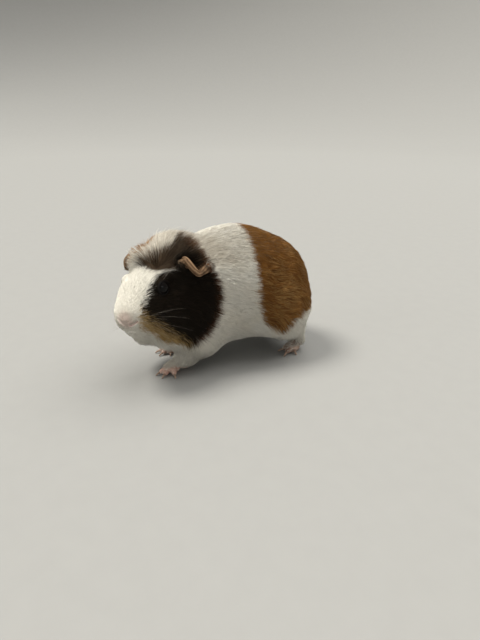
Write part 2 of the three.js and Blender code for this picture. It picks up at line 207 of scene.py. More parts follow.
def coat_depth(zones):
    """How far the skin lies inside the tips of the coat, in millimetres."""
    depth = COAT_DEPTH - 1.2 * zones.head - 0.9 * smooth(-20, -8, zones.forward) * (1 - zones.head)
    depth = depth - 1.9 * zones.muzzle - 0.6 * zones.nose + 4.5 * zones.crest - 1.6 * zones.eye
    return depth * (1 - 0.55 * zones.leg) * (1 - zones.foot)


# ------------------------------------------------------------------ shaders


class Number:
    """A number that varies over a surface; arithmetic on it adds Math nodes."""

    def __init__(self, shader, socket):
        self.shader = shader
        self.socket = socket

    def math(self, operation, *values):
        return self.shader.node("ShaderNodeMath", {"operation": operation}, *values)

    def __add__(self, other):
        return self.math("ADD", self, other)

    def __sub__(self, other):
        return self.math("SUBTRACT", self, other)

    def __rsub__(self, other):
        return self.math("SUBTRACT", other, self)

    def __mul__(self, other):
        return self.math("MULTIPLY", self, other)

    def __truediv__(self, other):
        return self.math("DIVIDE", self, other)

    def __rtruediv__(self, other):
        return self.math("DIVIDE", other, self)

    def __pow__(self, other):
        return self.math("POWER", self, other)

    __radd__ = __add__
    __rmul__ = __mul__

    def least(self, other):
        return self.math("MINIMUM", self, other)

    def most(self, other):
        return self.math("MAXIMUM", self, other)

    def fraction(self):
        return self.math("FRACT", self)

    def sine(self):
        return self.math("SINE", self)

    def step(self, low, high):
        """0 at low, 1 at high, with an easy slope between; low may be the greater."""
        settings = {"interpolation_type": "SMOOTHSTEP"}
        return self.shader.node("ShaderNodeMapRange", settings, self, low, high)


class Shader:
    """One material and the nodes that make it."""

    def __init__(self, name):
        self.material = bpy.data.materials.new(name)
        self.material.use_nodes = True
        self.tree = self.material.node_tree
        self.tree.nodes.clear()

    def node(self, kind, settings, *values, output=0, **named):
        """Adds a node: its settings first, then values or links for its sockets in order or by name."""
        made = self.tree.nodes.new(kind)
        for name, value in settings.items():
            setattr(made, name, value)
        sockets = [s for s in made.inputs if s.enabled]
        wanted = list(zip(sockets, values)) + [(made.inputs[name], value) for name, value in named.items()]
        for socket, value in wanted:
            if isinstance(value, Number):
                self.tree.links.new(value.socket, socket)
            elif socket.type == "RGBA":
                socket.default_value = (*value, 1.0)
            else:
                socket.default_value = value
        if not made.outputs:
            return None
        if isinstance(output, str):
            return Number(self, made.outputs[output])
        return Number(self, [s for s in made.outputs if s.enabled][output])

    def attribute(self, name, output="Fac"):
        return self.node("ShaderNodeAttribute", {"attribute_name": name}, output=output)

    def object_point(self):
        return self.node("ShaderNodeTexCoord", {}, output="Object")

    def split(self, point):
        """A point's three numbers."""
        made = self.node("ShaderNodeSeparateXYZ", {}, point).socket.node
        return [Number(self, socket) for socket in made.outputs]

    def noise(self, point, scale, detail=3.0, roughness=0.55):
        """Noise about 0, between -0.5 and 0.5, with the given number of lumps in a metre."""
        named = {"Scale": scale, "Detail": detail, "Roughness": roughness}
        return self.node("ShaderNodeTexNoise", {}, output=0, Vector=point, **named) - 0.5

    def mix(self, share, first, second):
        """The first colour where share is 0, the second where it is 1."""
        return self.node("ShaderNodeMix", {"data_type": "RGBA", "clamp_factor": True}, share, first, second)

    def scaled(self, colour, factor):
        """A colour made lighter or darker by a number."""
        return self.node("ShaderNodeVectorMath", {"operation": "SCALE"}, colour, Scale=factor)

    def bump(self, height, distance, strength=1.0):
        """A normal that follows a height given from 0 to 1, raised by a distance in metres."""
        return self.node("ShaderNodeBump", {}, Strength=strength, Distance=distance, Height=height)

    def finish(self, **named):
        """Ends the material in a Principled shader with the given sockets, and returns the material."""
        sockets = {name.replace("_", " "): value for name, value in named.items()}
        surface = self.node("ShaderNodeBsdfPrincipled", {}, **sockets)
        self.node("ShaderNodeOutputMaterial", {}, surface)
        return self.material


# ------------------------------------------------------------------ markings

# The body's white is painted lighter than the face's, as painted light that makes up for the shade in its
# deeper coat.
WHITE = (0.98, 0.955, 0.885)
FACE_WHITE = (0.93, 0.90, 0.82)
# A greyer white for the crown: partly its own brown-mixed hair, partly painted shade.
CROWN_GREY_HAIR_AND_SHADE = (0.79, 0.74, 0.65)
CREAM = (0.93, 0.88, 0.77)
GINGER = (0.335, 0.150, 0.035)
RUST = (0.17, 0.068, 0.014)
STRAW = (0.56, 0.33, 0.12)
DARK = (0.0125, 0.0080, 0.0042)
UMBER = (0.058, 0.039, 0.025)
WHORL_BROWN = (0.105, 0.070, 0.044)
FAWN = (0.23, 0.165, 0.105)
GOLD = (0.42, 0.27, 0.10)
BURNT = (0.13, 0.052, 0.020)
TAN = (0.66, 0.48, 0.25)
PINK = (0.76, 0.53, 0.47)
EAR_LINES = ((0.11, 0.062, 0.034), (0.30, 0.19, 0.11))
EAR_SHADE = (0.045, 0.026, 0.017)
FOOT_PINK = ((0.52, 0.31, 0.25), (0.72, 0.52, 0.44))
# The feet's darker colours: painted shade on the hind feet and on the feet on the right.
FOOT_PAINTED_SHADE = ((0.22, 0.14, 0.11), (0.46, 0.34, 0.28))
# Bare pink skin by the nose, and a dark red that is painted shade inside the nostrils.
LIP_PINK_AND_NOSTRIL_SHADE = ((0.60, 0.39, 0.36), (0.17, 0.06, 0.06))
LID = (0.005, 0.0035, 0.003)
EYE = ((0.0015, 0.001, 0.001), (0.003, 0.002, 0.0015))
HORN = ((0.22, 0.14, 0.10), (0.38, 0.27, 0.20))
HAIR = ((0.42, 0.38, 0.33), (0.30, 0.26, 0.22))


# The white wedge's two ends on the head.
WEDGE_START = (31.0, 8.0, 10.5)
WEDGE_END = (14.0, 21.5, 9.5)


def head_numbers(shader, point):
    """A point's forward, left and up on the body, then on the head, as numbers in millimetres."""
    x, y, z = shader.split(point)
    forward, left, up = FORE - y * 1000, x * 1000, z * 1000
    p, q, k = forward - HEAD_PLACE[0], left - HEAD_PLACE[1], up - HEAD_PLACE[2]
    c, s = math.cos(HEAD_TURN), math.sin(HEAD_TURN)
    return forward, left, up, p * c + q * s, q * c - p * s, k


def inside(values, centre, halves):
    """1 in the middle of an ellipse or a round body, 0 on its edge."""
    shares = [(value - place) / half for value, place, half in zip(values, centre, halves)]
    return 1 - sum(share * share for share in shares) ** 0.5


def coat_colour(shader, point, chance):
    """The colour of the coat at a point: white with a ginger saddle, a dark left cheek and a brown crest."""
    forward, _, up, f, h, k = head_numbers(shader, point)
    ragged = shader.noise(point, 160, 2) * 8 + (chance - 0.5) * 4
    cloud = shader.noise(point, 45, 3)
    other = (chance * 7.31).fraction()

    # The plain colours, each broken up by soft clouds and by chance from tuft to tuft.
    white = shader.mix((cloud + 0.3).step(0, 0.75) * 0.8, WHITE, CREAM)
    # The face takes a slightly darker white than the body: the body's white is painted lighter, as painted
    # light that makes up for the shade in its deeper coat.
    white = shader.mix(f.step(16, 26) * 0.9, white, FACE_WHITE)
    # The crown's white is greyer: partly its own brown-mixed hair, partly painted shade that tones down the
    # light from above.
    white = shader.mix(k.step(4, 14) * f.step(30, 20) * f.step(-30, -18) * 0.8, white, CROWN_GREY_HAIR_AND_SHADE)
    ginger = shader.mix((cloud * 1.6 + other).step(0.25, 0.75), GINGER, RUST)
    # More ginger tufts turn straw on the hip, as painted highlight there.
    hip_highlight = inside((forward, up), (-52, 64), (34, 34)).step(0, 0.5) * 0.20
    ginger = shader.mix((cloud + chance + hip_highlight).step(0.74, 0.95) * 0.85, ginger, STRAW)
    whorl = ((f - WHORL[0]) ** 2 + (h - WHORL[1]) ** 2) ** 0.5
    brown = shader.mix(whorl.step(18, 8), UMBER, WHORL_BROWN)
    brown = shader.mix((other + cloud).step(0.75, 1.0) * 0.6, brown, FAWN)

    # The saddle, from a collar behind the shoulder down to a line along the flank.
    collar = -13 - (72 - up).most(0) * 0.35 - (52 - up).most(0) * 0.4
    flank = (35 + (-42 - forward).most(0) * 0.75 + (forward + 42).most(0) * 0.5).least(54)
    saddle = (collar - forward + ragged).step(-1.5, 1.5) * (up - flank + ragged).step(-1.5, 1.5)
    colour = shader.mix(saddle, white, ginger)

    # The ginger patch on the right of the head.
    patch = inside((f, k), (0, -5), (25, 38)) * 30 + ragged
    wall = h * -1 - 20 + k.step(12, 24) * 9 + ragged * 0.5
    colour = shader.mix(patch.step(-1, 2) * wall.step(-2, 2), colour, ginger)

    # The dark left cheek with its golden fringe, up to the white blaze.
    chin = (up - 36 - (forward - 58) * 0.435) * 0.92
    within = (inside((forward, up), (66, 86), (43, 52)) * 46).least(chin) + ragged * 0.8
    blaze = h + ragged * 0.5 + (other - 0.5) * 5 - (forward - 70).most(0).least(14) * 0.14
    cheek = within.step(-1, 1.5) * blaze.step(10.3, 11.8)
    fringe = ((forward - 51) * 0.94 + 36 - up + (other - 0.5) * 15).step(-2, 4) * forward.step(48, 60)
    dark = shader.mix((other + cloud * 0.5).step(0.8, 1.1), DARK, UMBER)
    dark = shader.mix(within.step(6, 1) * forward.step(60, 40) * 0.85, dark, BURNT)
    gold = shader.mix((chance * 3.3).fraction().step(0.3, 0.8), GOLD, TAN)
    colour = shader.mix(cheek, colour, shader.mix(fringe, dark, gold))

    # The brown crest behind the whorl, with brown streaks in the white beside it.
    edge = h + 5.5 + (f - 20).most(0) * 0.8 + ragged * 0.8
    rear = f - (8.5 - h * 0.8).most(-3.5) + ragged * 0.6
    brow = 28 - (h - 7).most(0) * 1.05 - f + ragged * 0.3
    crest = edge.step(-1, 2) * rear.step(-1, 2) * brow.step(-1, 2) * (k + ragged * 0.3).step(3, 7)
    colour = shader.mix(crest, colour, shader.mix((h + ragged).step(16, 25), brown, dark))
    streak = other.step(0.74, 0.8) * edge.step(-17, -2) * f.step(25, 17) * k.step(10, 14) * (1 - crest)
    colour = shader.mix(streak * 0.6, colour, FAWN)

    # The white wedge that runs from the blaze over the left eye.
    along = np.subtract(WEDGE_END, WEDGE_START)
    t = sum((n - start) * step for n, start, step in zip((f, h, k), WEDGE_START, along))
    t = (t / float(along @ along)).least(1).most(0)
    gaps = [n - start - t * step for n, start, step in zip((f, h, k), WEDGE_START, along)]
    away = sum(gap * gap for gap in gaps) ** 0.5
    wedge = (away + ragged * 0.25 + t * 3.5).step(5.0, 3.6)
    colour = shader.mix(wedge, colour, white)

    nose = inside((f, h, k), NOSE_TIP, NOSE_HALVES)
    return shader.mix(nose.step(-0.35, 0.6) * 0.45, colour, PINK)


def coat_material():
    """Fur: the markings, each tuft a little lighter or darker, and darker towards its root, partly the hair's
    own base and partly painted shade deep in the coat.
    """
    shader = Shader("fur")
    chance = shader.attribute("chance")
    along = shader.attribute("along")
    colour = coat_colour(shader, shader.attribute("seat", "Vector"), chance)
    # Darker towards the root: partly the hair's own base, partly painted shade deep in the coat.
    tone = (0.86 + along.step(0, 0.6) * 0.14) * (0.76 + (chance * 3.7).fraction() ** 0.6 * 0.24)
    return shader.finish(Base_Color=shader.scaled(colour, tone), Roughness=0.7, Specular_IOR_Level=0.16)


def skin_material():
    """Skin: the coat's own markings, a little darker as painted shade under the tufts, where it is covered;
    bare on the nose, ears, lids and feet.
    """
    shader = Shader("bare_skin")
    point = shader.object_point()
    x, y, _ = shader.split(point)
    forward = FORE - y * 1000
    lips = shader.attribute("lips")
    cloud = shader.noise(point, 260, 4)
    fine = shader.noise(point, 1500, 3)
    # Under the coat the skin takes the coat's markings, painted a little darker as shade beneath the tufts.
    colour = shader.scaled(coat_colour(shader, point, 0.5 + cloud * 0.3), 0.88)
    lines = ((shader.attribute("groove") * 2.6 + cloud * 5).sine() + 1) * 0.5
    ear = shader.mix(shader.attribute("shade"), shader.mix(lines, *EAR_LINES), EAR_SHADE)
    # The hind feet, and to a lesser degree the feet on the right, are painted darker as painted shade.
    pink, foot_shade = (shader.mix((cloud + 0.5).step(0.25, 0.8), *pair) for pair in (FOOT_PINK, FOOT_PAINTED_SHADE))
    foot = shader.mix((forward.step(-20, -40) + x.step(0, -0.01) * 0.6).least(1), pink, foot_shade)
    colour = shader.mix(shader.attribute("foot"), colour, foot)
    # Bare pink skin round the nostrils and under the nose; the core of each nostril crease is painted dark, as
    # painted shade in the opening.
    colour = shader.mix(lips, colour, shader.mix(lips.step(0.7, 0.95), *LIP_PINK_AND_NOSTRIL_SHADE))
    colour = shader.mix(shader.attribute("ear"), colour, ear)
    colour = shader.mix(shader.attribute("lid"), colour, LID)
    normal = shader.bump(fine + cloud, 0.0004, 0.6)
    return shader.finish(Base_Color=colour, Roughness=0.6, Specular_IOR_Level=0.15, Normal=normal)


def eye_material():
    """A dark, wet eye."""
    shader = Shader("wet_eye")
    cloud = shader.noise(shader.object_point(), 400, 2)
    colour = shader.mix((cloud + 0.5).step(0.3, 0.8), *EYE)
    return shader.finish(Base_Color=colour, Roughness=0.05, Specular_IOR_Level=0.14)


def claw_material():
    """Horn: brown, mottled, with a soft gloss."""
    shader = Shader("horn")
    grain = shader.noise(shader.object_point(), 900, 3)
    colour = shader.mix((grain + 0.5).step(0.3, 0.7), *HORN)
    return shader.finish(Base_Color=colour, Roughness=0.35, Normal=shader.bump(grain, 0.0001, 0.4))


def whisker_material():
    """Pale, springy hair."""
    shader = Shader("whisker")
    grain = shader.noise(shader.object_point(), 300, 1)
    return shader.finish(Base_Color=shader.mix(grain + 0.5, *HAIR), Roughness=0.4)


# ------------------------------------------------------------------ making meshes


def deselect():
    """Nothing is selected, and nothing is active."""
    for found in bpy.context.selected_objects:
        found.select_set(False)
    bpy.context.view_layer.objects.active = None


def pick(piece):
    """Only this object is selected and active."""
    deselect()
    piece.select_set(True)
    bpy.context.view_layer.objects.active = piece


def apply(piece, kind, **settings):
    """Adds a modifier and applies it."""
    pick(piece)
    modifier = piece.modifiers.new(kind.lower(), kind)
    for name, value in settings.items():
        setattr(modifier, name, value)
    bpy.ops.object.modifier_apply(modifier=modifier.name)


def new_piece(name, mesh):
    """An object for a mesh, in the scene."""
    piece = bpy.data.objects.new(name, mesh)
    bpy.context.scene.collection.objects.link(piece)
    return piece


def mesh_of(name, points, faces):
    """A mesh of points and faces that all have the same number of corners."""
    mesh = bpy.data.meshes.new(name)
    corners = faces.shape[1]
    mesh.vertices.add(len(points))
    mesh.vertices.foreach_set("co", np.asarray(points, np.float32).ravel())
    mesh.loops.add(faces.size)
    mesh.loops.foreach_set("vertex_index", faces.astype(np.int32).ravel())
    mesh.polygons.add(len(faces))
    mesh.polygons.foreach_set("loop_start", np.arange(0, faces.size, corners, dtype=np.int32))
    mesh.update(calc_edges=True)
    return mesh


def points_of(piece, what="co"):
    """The places of a mesh's points, in metres, or the directions that they face."""
    found = np.empty(len(piece.data.vertices) * 3, np.float32)
    piece.data.vertices.foreach_get(what, found)
    return found.reshape(-1, 3).astype(float)


def move_points(piece, points):
    """Puts a mesh's points at new places."""
    piece.data.vertices.foreach_set("co", np.asarray(points, np.float32).ravel())
    piece.data.update()


def paint(mesh, name, values):
    """Keeps one number for each point of a mesh."""
    attribute = mesh.attributes.new(name, "FLOAT", "POINT")
    attribute.data.foreach_set("value", np.asarray(values, np.float32))


WEIGHT_STEPS = 50


def weigh(piece, name, weights):
    """A vertex group with one weight for each point, rounded to one of a few steps."""
    group = piece.vertex_groups.new(name=name)
    steps = np.round(np.clip(weights, 0, 1) * WEIGHT_STEPS).astype(int)
    for step in np.unique(steps):
        group.add(np.flatnonzero(steps == step).tolist(), step / WEIGHT_STEPS, "REPLACE")
    return name


def keep(piece, slot, material, *nodes):
    """Finishes a piece: smooth faces, its material, its body and the parts that it stands for; its slot is not
    used.
    """
    pick(piece)
    bpy.ops.object.shade_smooth()
    piece.data.materials.clear()
    piece.data.materials.append(material)
    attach(piece, "root")
    if nodes:
        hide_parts(*nodes)
    deselect()
    return piece


def curve_through(points, count):
    """A smooth curve through points, as evenly numbered places."""
    points = np.asarray(points, float)
    ends = np.concatenate([[2 * points[0] - points[1]], points, [2 * points[-1] - points[-2]]])
    t = np.linspace(0, len(points) - 1, count)
    i = np.minimum(t.astype(int), len(points) - 2)
    u = (t - i)[:, None]
    a, b, c, d = ends[i], ends[i + 1], ends[i + 2], ends[i + 3]
    return 0.5 * (2 * b + (c - a) * u + (2 * a - 5 * b + 4 * c - d) * u**2 + (3 * b - 3 * c + d - a) * u**3)


def outwards(points, faces):
    """The triangles of a closed mesh, all turned round if they face inwards."""
    p, q, r = (points[faces[:, i]] for i in range(3))
    return faces[:, ::-1] if np.einsum("ij,ij->i", p, np.cross(q, r)).sum() < 0 else faces


def loft(rings):
    """A closed mesh through rings of points, with a fan at each end, facing outwards."""
    rings = np.asarray(rings, float)
    count, around = rings.shape[:2]
    points = np.concatenate([rings.reshape(-1, 3), rings[0].mean(0)[None], rings[-1].mean(0)[None]])
    at = np.arange(count * around).reshape(count, around)
    a, b = at[:-1], np.roll(at[:-1], -1, 1)
    c, d = np.roll(at[1:], -1, 1), at[1:]
    sides = np.concatenate([np.stack([a, b, c], -1).reshape(-1, 3), np.stack([a, c, d], -1).reshape(-1, 3)])
    first, last = at[0], at[-1]
    start = np.stack([np.full(around, len(points) - 2), np.roll(first, -1), first], 1)
    end = np.stack([np.full(around, len(points) - 1), last, np.roll(last, -1)], 1)
    return points, outwards(points, np.concatenate([sides, start, end]))


def tube(path, radii, sides):
    """Rings of points round a path."""
    path = np.asarray(path, float)
    along = unit(np.gradient(path, axis=0))
    across = unit(np.cross(along, (0.1, 0.2, 1.0)))
    high = np.cross(across, along)
    angles = np.linspace(0, 2 * math.pi, sides, endpoint=False)
    ring = np.cos(angles)[None, :, None] * across[:, None] + np.sin(angles)[None, :, None] * high[:, None]
    return path[:, None] + ring * np.asarray(radii, float)[:, None, None]


# ------------------------------------------------------------------ skin

# Each ear's root and edge as lines on the head, front end first, by side, and how thick its rolled edge is.
EAR_ROOT = {
    1: ((2, 23, 12), (-1, 22.5, 13.5), (-8, 22, 13), (-15, 24, 12)),
    -1: ((4, -17.5, 13.5), (-1, -15.5, 14), (-9.5, -16, 13), (-15, -17, 11)),
}
EAR_EDGE = {
    1: (
        (4, 24, 12.5), (7.2, 28, 18.2), (6.6, 31, 16.6), (6.8, 35, 12.5), (6, 39, 7.8),
        (3.6, 41, 4.2), (0.4, 43, 5.4), (-3.4, 46.4, 8.8), (-8, 43.5, 8.6), (-14, 34, 10),
    ),
    -1: (
        (6.5, -24, 16.5), (6.5, -28.5, 16.5), (6.5, -33, 14), (5.5, -37.5, 9.5),
        (4, -39.5, 4.5), (3, -38.5, 0.5), (-3, -40, 2), (-11, -39, 6), (-16, -32, 10),
    ),
}
EAR_RIM = {
    1: (1.0, 2.8, 3.0, 2.9, 2.7, 2.1, 2.4, 4.4, 3.8, 1.5),
    -1: (2.2, 2.5, 2.4, 2.2, 2.0, 2.2, 3.2, 3.6, 3.0, 1.5),
}
# The thickness of an ear's wall and the depth of its sag and folds, in millimetres.
EAR_WALL = 0.75
EAR_SAG = 3.5
EAR_FOLD = 0.35


def ear_lines(side, count):
    """The root and the edge of an ear, each as a line of places on the head."""
    return curve_through(EAR_ROOT[side], count), curve_through(EAR_EDGE[side], count)


def ear_mesh(side):
    """A petal of skin that hangs from the head, with a thick rolled edge and soft folds inside it."""
    stations, steps = 48, 14
    root, edge = ear_lines(side, stations)
    place = np.linspace(0, 1, stations)
    rim = np.interp(place, np.linspace(0, 1, 10), EAR_RIM[side])
    along = unit(np.gradient(edge, axis=0) + 0.5 * np.gradient(root, axis=0))
    out = unit(edge - root)
    high = unit(np.cross(along, out))
    t = np.linspace(0, 1, steps)
    sag = EAR_SAG * np.sin(math.pi * t)[None] * np.sin(math.pi * place)[:, None]
    fold = EAR_FOLD * np.sin(t * 9 + place[:, None] * 5)
    middle_line = root[:, None] + (edge - root)[:, None] * t[None, :, None]
    middle_line[..., 2] -= sag
    middle_line += high[:, None] * (fold * smooth(0, 0.3, t) * smooth(1, 0.7, t))[..., None]
    thick = EAR_WALL + (rim[:, None] - EAR_WALL) * smooth(0.74, 0.96, t)[None]
    upper = middle_line + high[:, None] * thick[..., None]
    lower = middle_line - high[:, None] * thick[..., None]
    angles = np.linspace(math.pi / 2, -math.pi / 2, 9)[1:-1]
    turn = np.cos(angles)[None, :, None] * out[:, None] + np.sin(angles)[None, :, None] * high[:, None]
    tip = edge[:, None] + turn * rim[:, None, None]
    rings = np.concatenate([upper, tip, lower[:, ::-1]], 1)
    points, faces = loft(head_points(rings))
    return mesh_of("ear", points, faces)


# The gap closed between the frame's parts, in metres.
GAP = 0.0004


def flesh_copy(node):
    """A copy of a part of the frame with its points merged, grown just enough to close the gaps round it."""
    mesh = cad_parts[node].data.copy()
    mesh.materials.clear()
    piece = new_piece("flesh", mesh)
    pick(piece)
    bpy.ops.object.mode_set(mode="EDIT")
    bpy.ops.mesh.select_all(action="SELECT")
    bpy.ops.mesh.remove_doubles(threshold=1e-6)
    bpy.ops.object.mode_set(mode="OBJECT")
    apply(piece, "DISPLACE", strength=GAP, mid_level=0.0)
    return piece


def joined(pieces, name):
    """Several objects as one."""
    deselect()
    for piece in pieces:
        piece.select_set(True)
    bpy.context.view_layer.objects.active = pieces[0]
    bpy.ops.object.join()
    pieces[0].name = name
    return pieces[0]


def ball(centre, radius, segments=32):
    """A sphere at a place, its mesh in place and its object at the origin."""
    deselect()
    bpy.ops.mesh.primitive_uv_sphere_add(
        segments=segments, ring_count=segments // 2, radius=radius, location=centre
    )
    piece = bpy.context.object
    bpy.ops.object.transform_apply(location=True, rotation=True, scale=True)
    return piece


def capsule_distance(points, a, b):
    """How far points are from the stretch between a and b."""
    along = b - a
    t = np.clip((points - a) @ along / max(float(along @ along), 1e-18), 0, 1)
    return np.linalg.norm(points - a - t[:, None] * along, axis=1)


def line_distance(points, line):
    """How far points are from a line of several stretches."""
    return np.min([capsule_distance(points, a, b) for a, b in zip(line[:-1], line[1:])], 0)


def on_skin(tree, places):
    """Places on the head, each moved to the nearest point of the skin, in metres."""
    return np.array([tree.find_nearest(Vector(place))[0] for place in head_points(places)])


# The lids' opening, as half its width and height in degrees, the way each eye looks, and how far each lid
# stands out from the eye and rolls, in millimetres.
OPENING = {1: (67, 61), -1: (54, 46)}
EYE_AXIS = {1: (0.22, 1, 0.16), -1: (-0.15, -1, 0.1)}
LID_LIFT = {1: 0.7, -1: 0.3}
LID_ROLL = 0.35


def open_lids(points, side):
    """Points round an eye moved to make an almond opening with a thick lid and a fold round it."""
    centre = np.array(middle("eye_left" if side > 0 else "eye_right"))
    outward = unit(head_turned(np.array(EYE_AXIS[side])))
    ahead = unit(head_turned(np.array([1.0, -0.2 * side, -0.18])))
    ahead = unit(ahead - outward * (ahead @ outward))
    above = np.cross(ahead, outward) * side
    gap = points - centre
    distance = np.linalg.norm(gap, axis=1) / MM
    near = np.flatnonzero(distance < 15)
    d = unit(gap[near])
    x, y, z = d @ ahead, d @ above, d @ outward
    turn = np.arctan2(np.hypot(x, y), z)
    angle = np.arctan2(y, x)
    wide, tall = np.radians(OPENING[side])
    reach = 1 / np.sqrt((np.cos(angle) / wide) ** 2 + (np.sin(angle) / tall) ** 2)
    q = turn / reach
    low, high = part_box("eye_left")
    eye_radius = (high.z - low.z) / 2 / MM
    lid = eye_radius + LID_LIFT[side]
    wall = smooth(0.93, 1.02, q)
    roll = LID_ROLL * (np.exp(-(((q - 1.12) / 0.09) ** 2)) - np.exp(-(((q - 1.36) / 0.07) ** 2)))
    shaped = (eye_radius - 0.9) * (1 - wall) + (lid + roll) * wall
    blend = smooth(1.75, 1.3, q) * (z > -0.2)
    new = distance[near] * (1 - blend) + shaped * blend
    moved = points.copy()
    moved[near] = centre + d * new[:, None] * MM
    shade = np.zeros(len(points))
    shade[near] = smooth(1.32, 1.1, q) * (z > 0)
    return moved, shade


def crease(points, normals, line, width, depth, rim=0.0):
    """Points near a line pressed inwards, and raised a little on both sides of it; sizes in millimetres."""
    away = line_distance(points, line) / MM
    press = -depth * np.exp(-((away / width) ** 2)) + rim * np.exp(-(((away - 2.1 * width) / width) ** 2))
    return points + normals * press[:, None] * MM


# Creases on the left of the face as places on the head, and how far the nose lies left of the middle.
NOSTRIL = ((65, 2.5, -27.3), (65, 4.2, -26.4), (64.5, 6.2, -25), (63.5, 8.4, -23.4))
PHILTRUM = ((66, 0, -27), (65, 0, -31), (62, 0, -35.5))
MOUTH = ((62, 0, -35.5), (60, 4, -36.2), (56, 8, -37.5), (50, 11.5, -38.5))
NOSE_LEAN = 2.0
EAR_PLACES = 30


def mirrored(line, side, lean):
    """A line on the left of the head taken to one side, and moved left by a lean."""
    return [(f, h * side + lean, k) for f, h, k in line]


def claw_ends(node):
    """The root and the tip of a claw, and the middle of its foot, in metres."""
    foot = np.array(middle(node.rsplit("_", 1)[0].replace("claw", "foot")))
    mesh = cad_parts[node].data
    points = np.array([vertex.co for vertex in mesh.vertices])
    centre = (points.min(0) + points.max(0)) / 2
    away = np.linalg.norm(points - foot, axis=1)
    axis = unit(points[away.argmax()] - points[away.argmin()])
    along = (points - centre) @ axis
    return centre + axis * along.min(), centre + axis * along.max(), foot


# A toe's thickness from the sole to the claw, and how high its start and its knuckle lie, in metres.
TOE_PLACES = (0, 0.25, 0.5, 0.62, 0.8, 0.93, 1)
TOE_RADII = (2.8, 2.7, 2.6, 2.3, 2.4, 2.0, 1.1)
TOE_HEIGHTS = {"front": (0.0046, 0.0056), "hind": (0.0052, 0.0060)}
HIND_TOE = 1.1


def toe(node, front):
    """One toe from the sole to its claw, with a knuckle and a pad."""
    root, tip, foot = claw_ends(node)
    start = foot + (root - foot) * 0.2
    knuckle = foot + (root - foot) * 0.66
    start[2], knuckle[2] = TOE_HEIGHTS["front" if front else "hind"]
    end = root + unit(tip - root) * 0.0014
    path = curve_through([start, knuckle, end], 16)
    radii = np.interp(np.linspace(0, 1, len(path)), TOE_PLACES, TOE_RADII)
    points, faces = loft(tube(path, radii * (1.0 if front else HIND_TOE) * MM, 14))
    return new_piece("toe", mesh_of("toe", points, faces))


def build_feet():
    """The soles shrunk a little, each with its ankle, and every toe drawn out on its own."""
    parts = []
    for foot in FEET:
        sole = flesh_copy(foot)
        apply(sole, "DISPLACE", strength=-GAP, mid_level=0.0)
        path = to_world(curve_through(ANKLES[foot], 12))
        points, faces = loft(tube(path, np.linspace(5.8, 4.4, 12) * MM, 20))
        parts += [sole, new_piece("ankle", mesh_of("ankle", points, faces))]
        claws = [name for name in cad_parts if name.startswith(foot.replace("foot", "claw"))]
        parts += [toe(name, "front" in foot) for name in sorted(claws)]
    return parts


# The size of the body's faces before ears, eyes and toes join it, and the radius of the round mass that each
# eye sits in, in metres.
BODY_GRAIN = 0.0011
SOCKETS = {"eye_left": 0.0071, "eye_right": 0.0067}


def build_skin(settings):
    """One skin for head, neck, trunk, legs, feet and ears."""
    parts = [flesh_copy(node) for node in (*FLESH, *LEGS)]
    skin = joined(parts, "skin")
    apply(skin, "REMESH", mode="VOXEL", voxel_size=BODY_GRAIN)
    zones = Zones(to_body(points_of(skin)))
    group = weigh(skin, "form", 1 - smooth(24, 12, zones.up) * zones.leg)
    apply(skin, "SMOOTH", factor=0.5, iterations=settings.smoothing, vertex_group=group)
    apply(skin, "SMOOTH", factor=0.5, iterations=4)
    zones = Zones(to_body(points_of(skin)))
    depth = coat_depth(zones)
    deepest = depth.max()
    group = weigh(skin, "depth", depth / deepest)
    apply(skin, "DISPLACE", strength=-float(deepest) * MM, mid_level=0.0, vertex_group=group)
    skin.vertex_groups.clear()
    ears = [new_piece("ear", ear_mesh(side)) for side in (1, -1)]
    balls = [ball(middle(eye), radius) for eye, radius in SOCKETS.items()]
    skin = joined([skin, *ears, *balls, *build_feet()], "skin")
    apply(skin, "REMESH", mode="VOXEL", voxel_size=settings.grain * MM)
    drop_islands(skin)
    apply(skin, "SMOOTH", factor=0.5, iterations=3)
    count = len(skin.data.polygons) * 2
    apply(skin, "DECIMATE", ratio=min(1.0, settings.triangles / count), use_collapse_triangulate=True)
    carve_face(skin)
    paint_bare(skin)
    return keep(skin, "coat", skin_material(), *FLESH, *LEGS, *FEET, "ear_left", "ear_right")


def drop_islands(piece):
    """Deletes everything but the largest closed surface."""
    mesh = bmesh.new()
    mesh.from_mesh(piece.data)
    left = set(mesh.verts)
    islands = []
    while left:
        start = left.pop()
        island, edge = {start}, [start]
        while edge:
            found = [e.other_vert(v) for v in edge for e in v.link_edges]
            edge = [v for v in set(found) if v in left]
            left.difference_update(edge)
            island.update(edge)
        islands.append(island)
    islands.sort(key=len, reverse=True)
    bmesh.ops.delete(mesh, geom=[v for island in islands[1:] for v in island], context="VERTS")
    mesh.to_mesh(piece.data)
    mesh.free()


def carve_face(skin):
    """Nostrils, the groove under the nose, the mouth and the lids."""
    tree = BVHTree.FromPolygons(
        [Vector(p) for p in points_of(skin)], [tuple(face.vertices) for face in skin.data.polygons]
    )
    points, normals = points_of(skin), points_of(skin, "normal")
    for side in (1, -1):
        line = on_skin(tree, mirrored(NOSTRIL, side, NOSE_LEAN * (side > 0)))
        points = crease(points, normals, line, 0.8, 2.1 if side > 0 else 1.6, 0.5)
        line = on_skin(tree, mirrored(MOUTH, side, NOSE_LEAN))
        points = crease(points, normals, line, 0.7, 1.6, 0.45)
    line = on_skin(tree, mirrored(PHILTRUM, 1, NOSE_LEAN))
    points = crease(points, normals, line, 0.6, 1.0, 0.3)
    lid = np.zeros(len(points))
    for side in (1, -1):
        points, shade = open_lids(points, side)
        lid = np.maximum(lid, shade)
    move_points(skin, points)
    paint(skin.data, "lid", lid)


